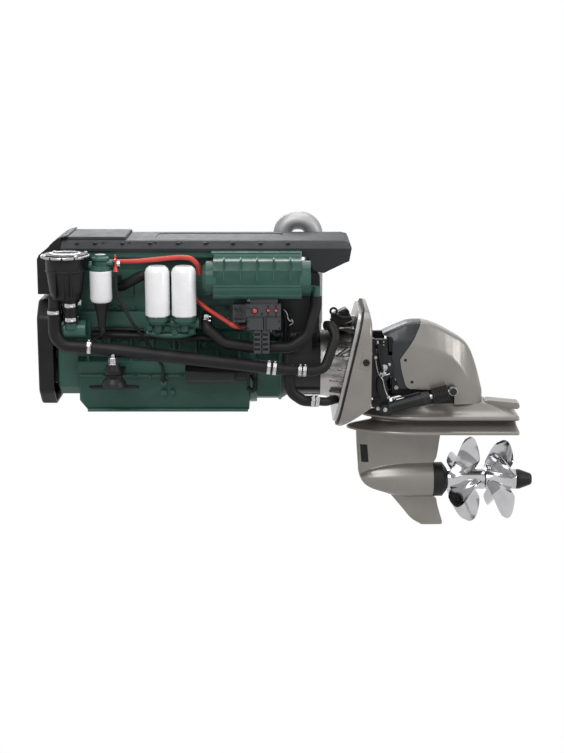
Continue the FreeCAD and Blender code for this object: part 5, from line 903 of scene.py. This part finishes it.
def block_fittings():
    green, black, bright = Kit(), Kit(), Kit()
    for x in (-960, -900, -840, -780, -720, -660, -600, -540, -480, -430):
        green.bolt((x, -165, -21), PORT, 5.0)
        green.bolt((x, -152, 243), PORT, 5.0)
    for x in (-930, -810, -690, -570, -450):
        green.lathe((x, -128, 96), PORT, [(0, 20), (4, 20), (6, 18), (6, 13), (3, 12)], 28)
    green.tube([(-1029, -157, -158), (-401, -157, -158)], 6.5, 14, 4)
    green.tube([(-1029, 152, -158), (-401, 152, -158)], 6.5, 14, 4)
    green.lathe((-729, -160, -86), PORT, [(0, 13), (9, 13), (11, 10)], 6)
    green.lathe((-696, -160, -84), PORT, [(0, 11), (9, 11), (11, 9)], 6)
    green.piece("block_bolts", GREEN, "engine", "green_paint", 0.6)
    for side in (-1, 1):
        bright.lathe((-908, side * 310, 58), UP, [(0, 26), (3, 26), (3, 19), (24, 19), (27, 16)], 6)
        bright.lathe((-908, side * 310, 80), UP, [(0, 8), (14, 8), (16, 6.5)], 16)
        black.lathe((-908, side * 310, 20), UP, [(0, 30), (8, 33), (16, 32.5), (26, 28), (38, 25)], 36)
    # The long black tube along the block's flank is partly a wiring conduit and partly painted shade of the
    # recess between hose and rail.
    black.tube([(-1000, -196, 146), (-940, -206, 150), (-860, -206, 148), (-790, -210, 146),
                (-700, -206, 140), (-560, -200, 136), (-450, -196, 120)], 13, 14, 6)
    black.tube([(-996, -190, 168), (-900, -198, 172), (-800, -200, 168)], 8, 12, 6)
    black.tube([(-262, -196, 236), (-252, -200, 196), (-256, -202, 149), (-258, -202, 72), (-263, -196, 6)],
               9, 14, 8)
    black.tube([(-240, -200, 240), (-232, -206, 200), (-238, -206, 160), (-250, -204, 110)], 5, 12, 8)
    black.tube([(-404, -190, -60), (-380, -196, -72), (-372, -190, -40), (-384, -180, -10)], 9, 14, 8)
    black.piece("wiring_and_painted_shade", RUBBER, "engine", "black_rubber", 0.6, sharp=50)
    bright.tube([(-262, -212, 252), (-250, -214, 236), (-244, -214, 214), (-232, -214, 204)], 2.6, 10, 6)
    bright.tube([(-232, -214, 214), (-226, -214, 200), (-240, -214, 190)], 2.6, 10, 6)
    bright.piece("mount_nuts", PLATED, "engine", "plated_steel", 0.8)


def relay_box_fittings():
    grey, black = Kit(), Kit()
    front = -330.5
    for x, z, size in ((-370, 266, 12), (-320, 267, 8.2), (-291, 267, 8.2)):
        black.lathe((x, front + 1.5, z), PORT, [(0, size), (2.6, size), (3.2, size - 1.5), (3.2, size - 3),
                                                (0.2, size - 3.2)], 28)
    for x, z in ((-396, 278), (-320, 285), (-291, 285), (-344, 252), (-320, 249),
                 (-291, 249), (-396, 226), (-278, 226), (-396, 200), (-278, 200)):
        black.lathe((x, front + 1, z), PORT, [(0, 3.2), (2.0, 3.2), (2.2, 1.6)], 12)
    black.block((-401, front - 0.2, 243.6), (-273, front + 3, 245.4))
    black.block((-329, front - 0.2, 192), (-327.4, front + 3, 244))
    for z in (276, 238):
        for x in (-442, -424):
            grey.lathe((x, front + 6, z), PORT, [(0, 7.5), (9, 7.5), (11, 6.5)], 8)
            black.lathe((x, front - 4, z), PORT, [(0, 5), (5, 5)], 12)
    grey.block((-452, front + 2, 222), (-406, front + 12, 232))
    for x in (-363, -332):
        for number in range(4):
            z = 174 - 19 * number
            grey.block((x - 13, -318, z - 6), (x + 13, -302, z + 5))
            black.block((x - 5, -320, z - 2), (x + 5, -316, z + 2))
    grey.block((-388, -312, 286), (-284, -196, 318))
    grey.piece("relay_plugs", GREY_PLASTIC, "engine", "black_plastic", 0.8)
    black.tube([(-436, -326, 222), (-430, -322, 205), (-416, -318, 196), (-400, -312, 190)], 4.5, 10, 6)
    black.tube([(-300, -326, 192), (-298, -316, 176), (-286, -300, 166), (-270, -270, 170)], 4.5, 10, 6)
    black.piece("relay_screws", PLASTIC, "engine", "black_plastic", 0.3)


def lid_fittings():
    kit = Kit()
    x, y = -1081.0, -285.0
    kit.lathe((x, y, 462), UP, [(0, 84), (0, 91), (5, 92.5), (9, 91), (9, 84)], 56)
    for number in range(4):
        angle = math.radians(90 * number + 35)
        reach = Vector((math.cos(angle), math.sin(angle), 0))
        spot = Vector((x, y, 465)) + reach * 86
        kit.lathe(spot, UP, [(0, 9), (10, 9), (13, 6)], 6)
    kit.lathe((x, y, 476), UP, [(0, 60), (2.4, 60), (3.4, 57), (3.4, 50), (2.0, 48)], 48)
    kit.piece("lid_ring", PLATED, "strainer_lid", "plated_steel", 0.6)


for make in (cover_fittings, filter_fittings, block_fittings, relay_box_fittings, lid_fittings):
    make()


# Stage: a pale floor far below the part, which its mount holds, and soft lights
def seen_white(tree):
    """One for the rays that see the backdrop: straight, mirrored or through glass."""
    path = tree.nodes.new("ShaderNodeLightPath")
    total = path.outputs["Is Camera Ray"]
    for kind in ("Is Glossy Ray", "Is Transmission Ray"):
        add = tree.nodes.new("ShaderNodeMath")
        add.operation = "MAXIMUM"
        tree.links.new(total, add.inputs[0])
        tree.links.new(path.outputs[kind], add.inputs[1])
        total = add.outputs[0]
    return total


FLOOR_Z, SOFT_LIGHT = -2.4, 0.42


def make_stage():
    mesh = bpy.data.meshes.new("floor")
    build = bmesh.new()
    bmesh.ops.create_grid(build, x_segments=1, y_segments=1, size=30)
    build.to_mesh(mesh)
    build.free()
    floor = bpy.data.objects.new("floor", mesh)
    floor.location = (0, 0, FLOOR_Z)
    bpy.context.scene.collection.objects.link(floor)
    material = bpy.data.materials.new("floor")
    material.use_nodes = True
    tree = material.node_tree
    shader = tree.nodes["Principled BSDF"]
    shader.inputs["Base Color"].default_value = (0.82, 0.82, 0.82, 1)
    shader.inputs["Roughness"].default_value = 0.9
    glow = tree.nodes.new("ShaderNodeEmission")
    glow.inputs["Color"].default_value = (1, 1, 1, 1)
    mix = tree.nodes.new("ShaderNodeMixShader")
    tree.links.new(seen_white(tree), mix.inputs["Fac"])
    tree.links.new(shader.outputs[0], mix.inputs[1])
    tree.links.new(glow.outputs[0], mix.inputs[2])
    tree.links.new(mix.outputs[0], tree.nodes["Material Output"].inputs[0])
    mesh.materials.append(material)

    world = bpy.data.worlds.new("world")
    bpy.context.scene.world = world
    world.use_nodes = True
    tree = world.node_tree
    tree.nodes.clear()
    output = tree.nodes.new("ShaderNodeOutputWorld")
    soft = tree.nodes.new("ShaderNodeBackground")
    soft.inputs["Color"].default_value = (1, 1, 1, 1)
    soft.inputs["Strength"].default_value = SOFT_LIGHT
    white = tree.nodes.new("ShaderNodeBackground")
    white.inputs["Color"].default_value = (1, 1, 1, 1)
    white.inputs["Strength"].default_value = 1.0
    mix = tree.nodes.new("ShaderNodeMixShader")
    tree.links.new(seen_white(tree), mix.inputs["Fac"])
    tree.links.new(soft.outputs[0], mix.inputs[1])
    tree.links.new(white.outputs[0], mix.inputs[2])
    tree.links.new(mix.outputs[0], output.inputs[0])

    for name, place, aim, size, power in (
            ("key", (-1.6, -3.4, 3.4), (-0.3, 0, 0), 2.6, 120),
            ("top", (-0.2, 0.4, 3.2), (-0.2, 0, 0.2), 3.0, 62),
            ("aft", (3.2, -2.0, 1.6), (0.3, 0, -0.2), 1.8, 55),
            ("back", (-1.0, 3.6, 2.2), (-0.3, 0, 0), 2.4, 70)):
        lamp = bpy.data.lights.new(name, "AREA")
        lamp.shape = "DISK"
        lamp.size = size
        lamp.energy = power
        holder = bpy.data.objects.new(name, lamp)
        holder.location = place
        holder.rotation_euler = (Vector(aim) - Vector(place)).to_track_quat("-Z", "Y").to_euler()
        bpy.context.scene.collection.objects.link(holder)


make_stage()
bpy.context.scene.view_settings.view_transform = "Standard"
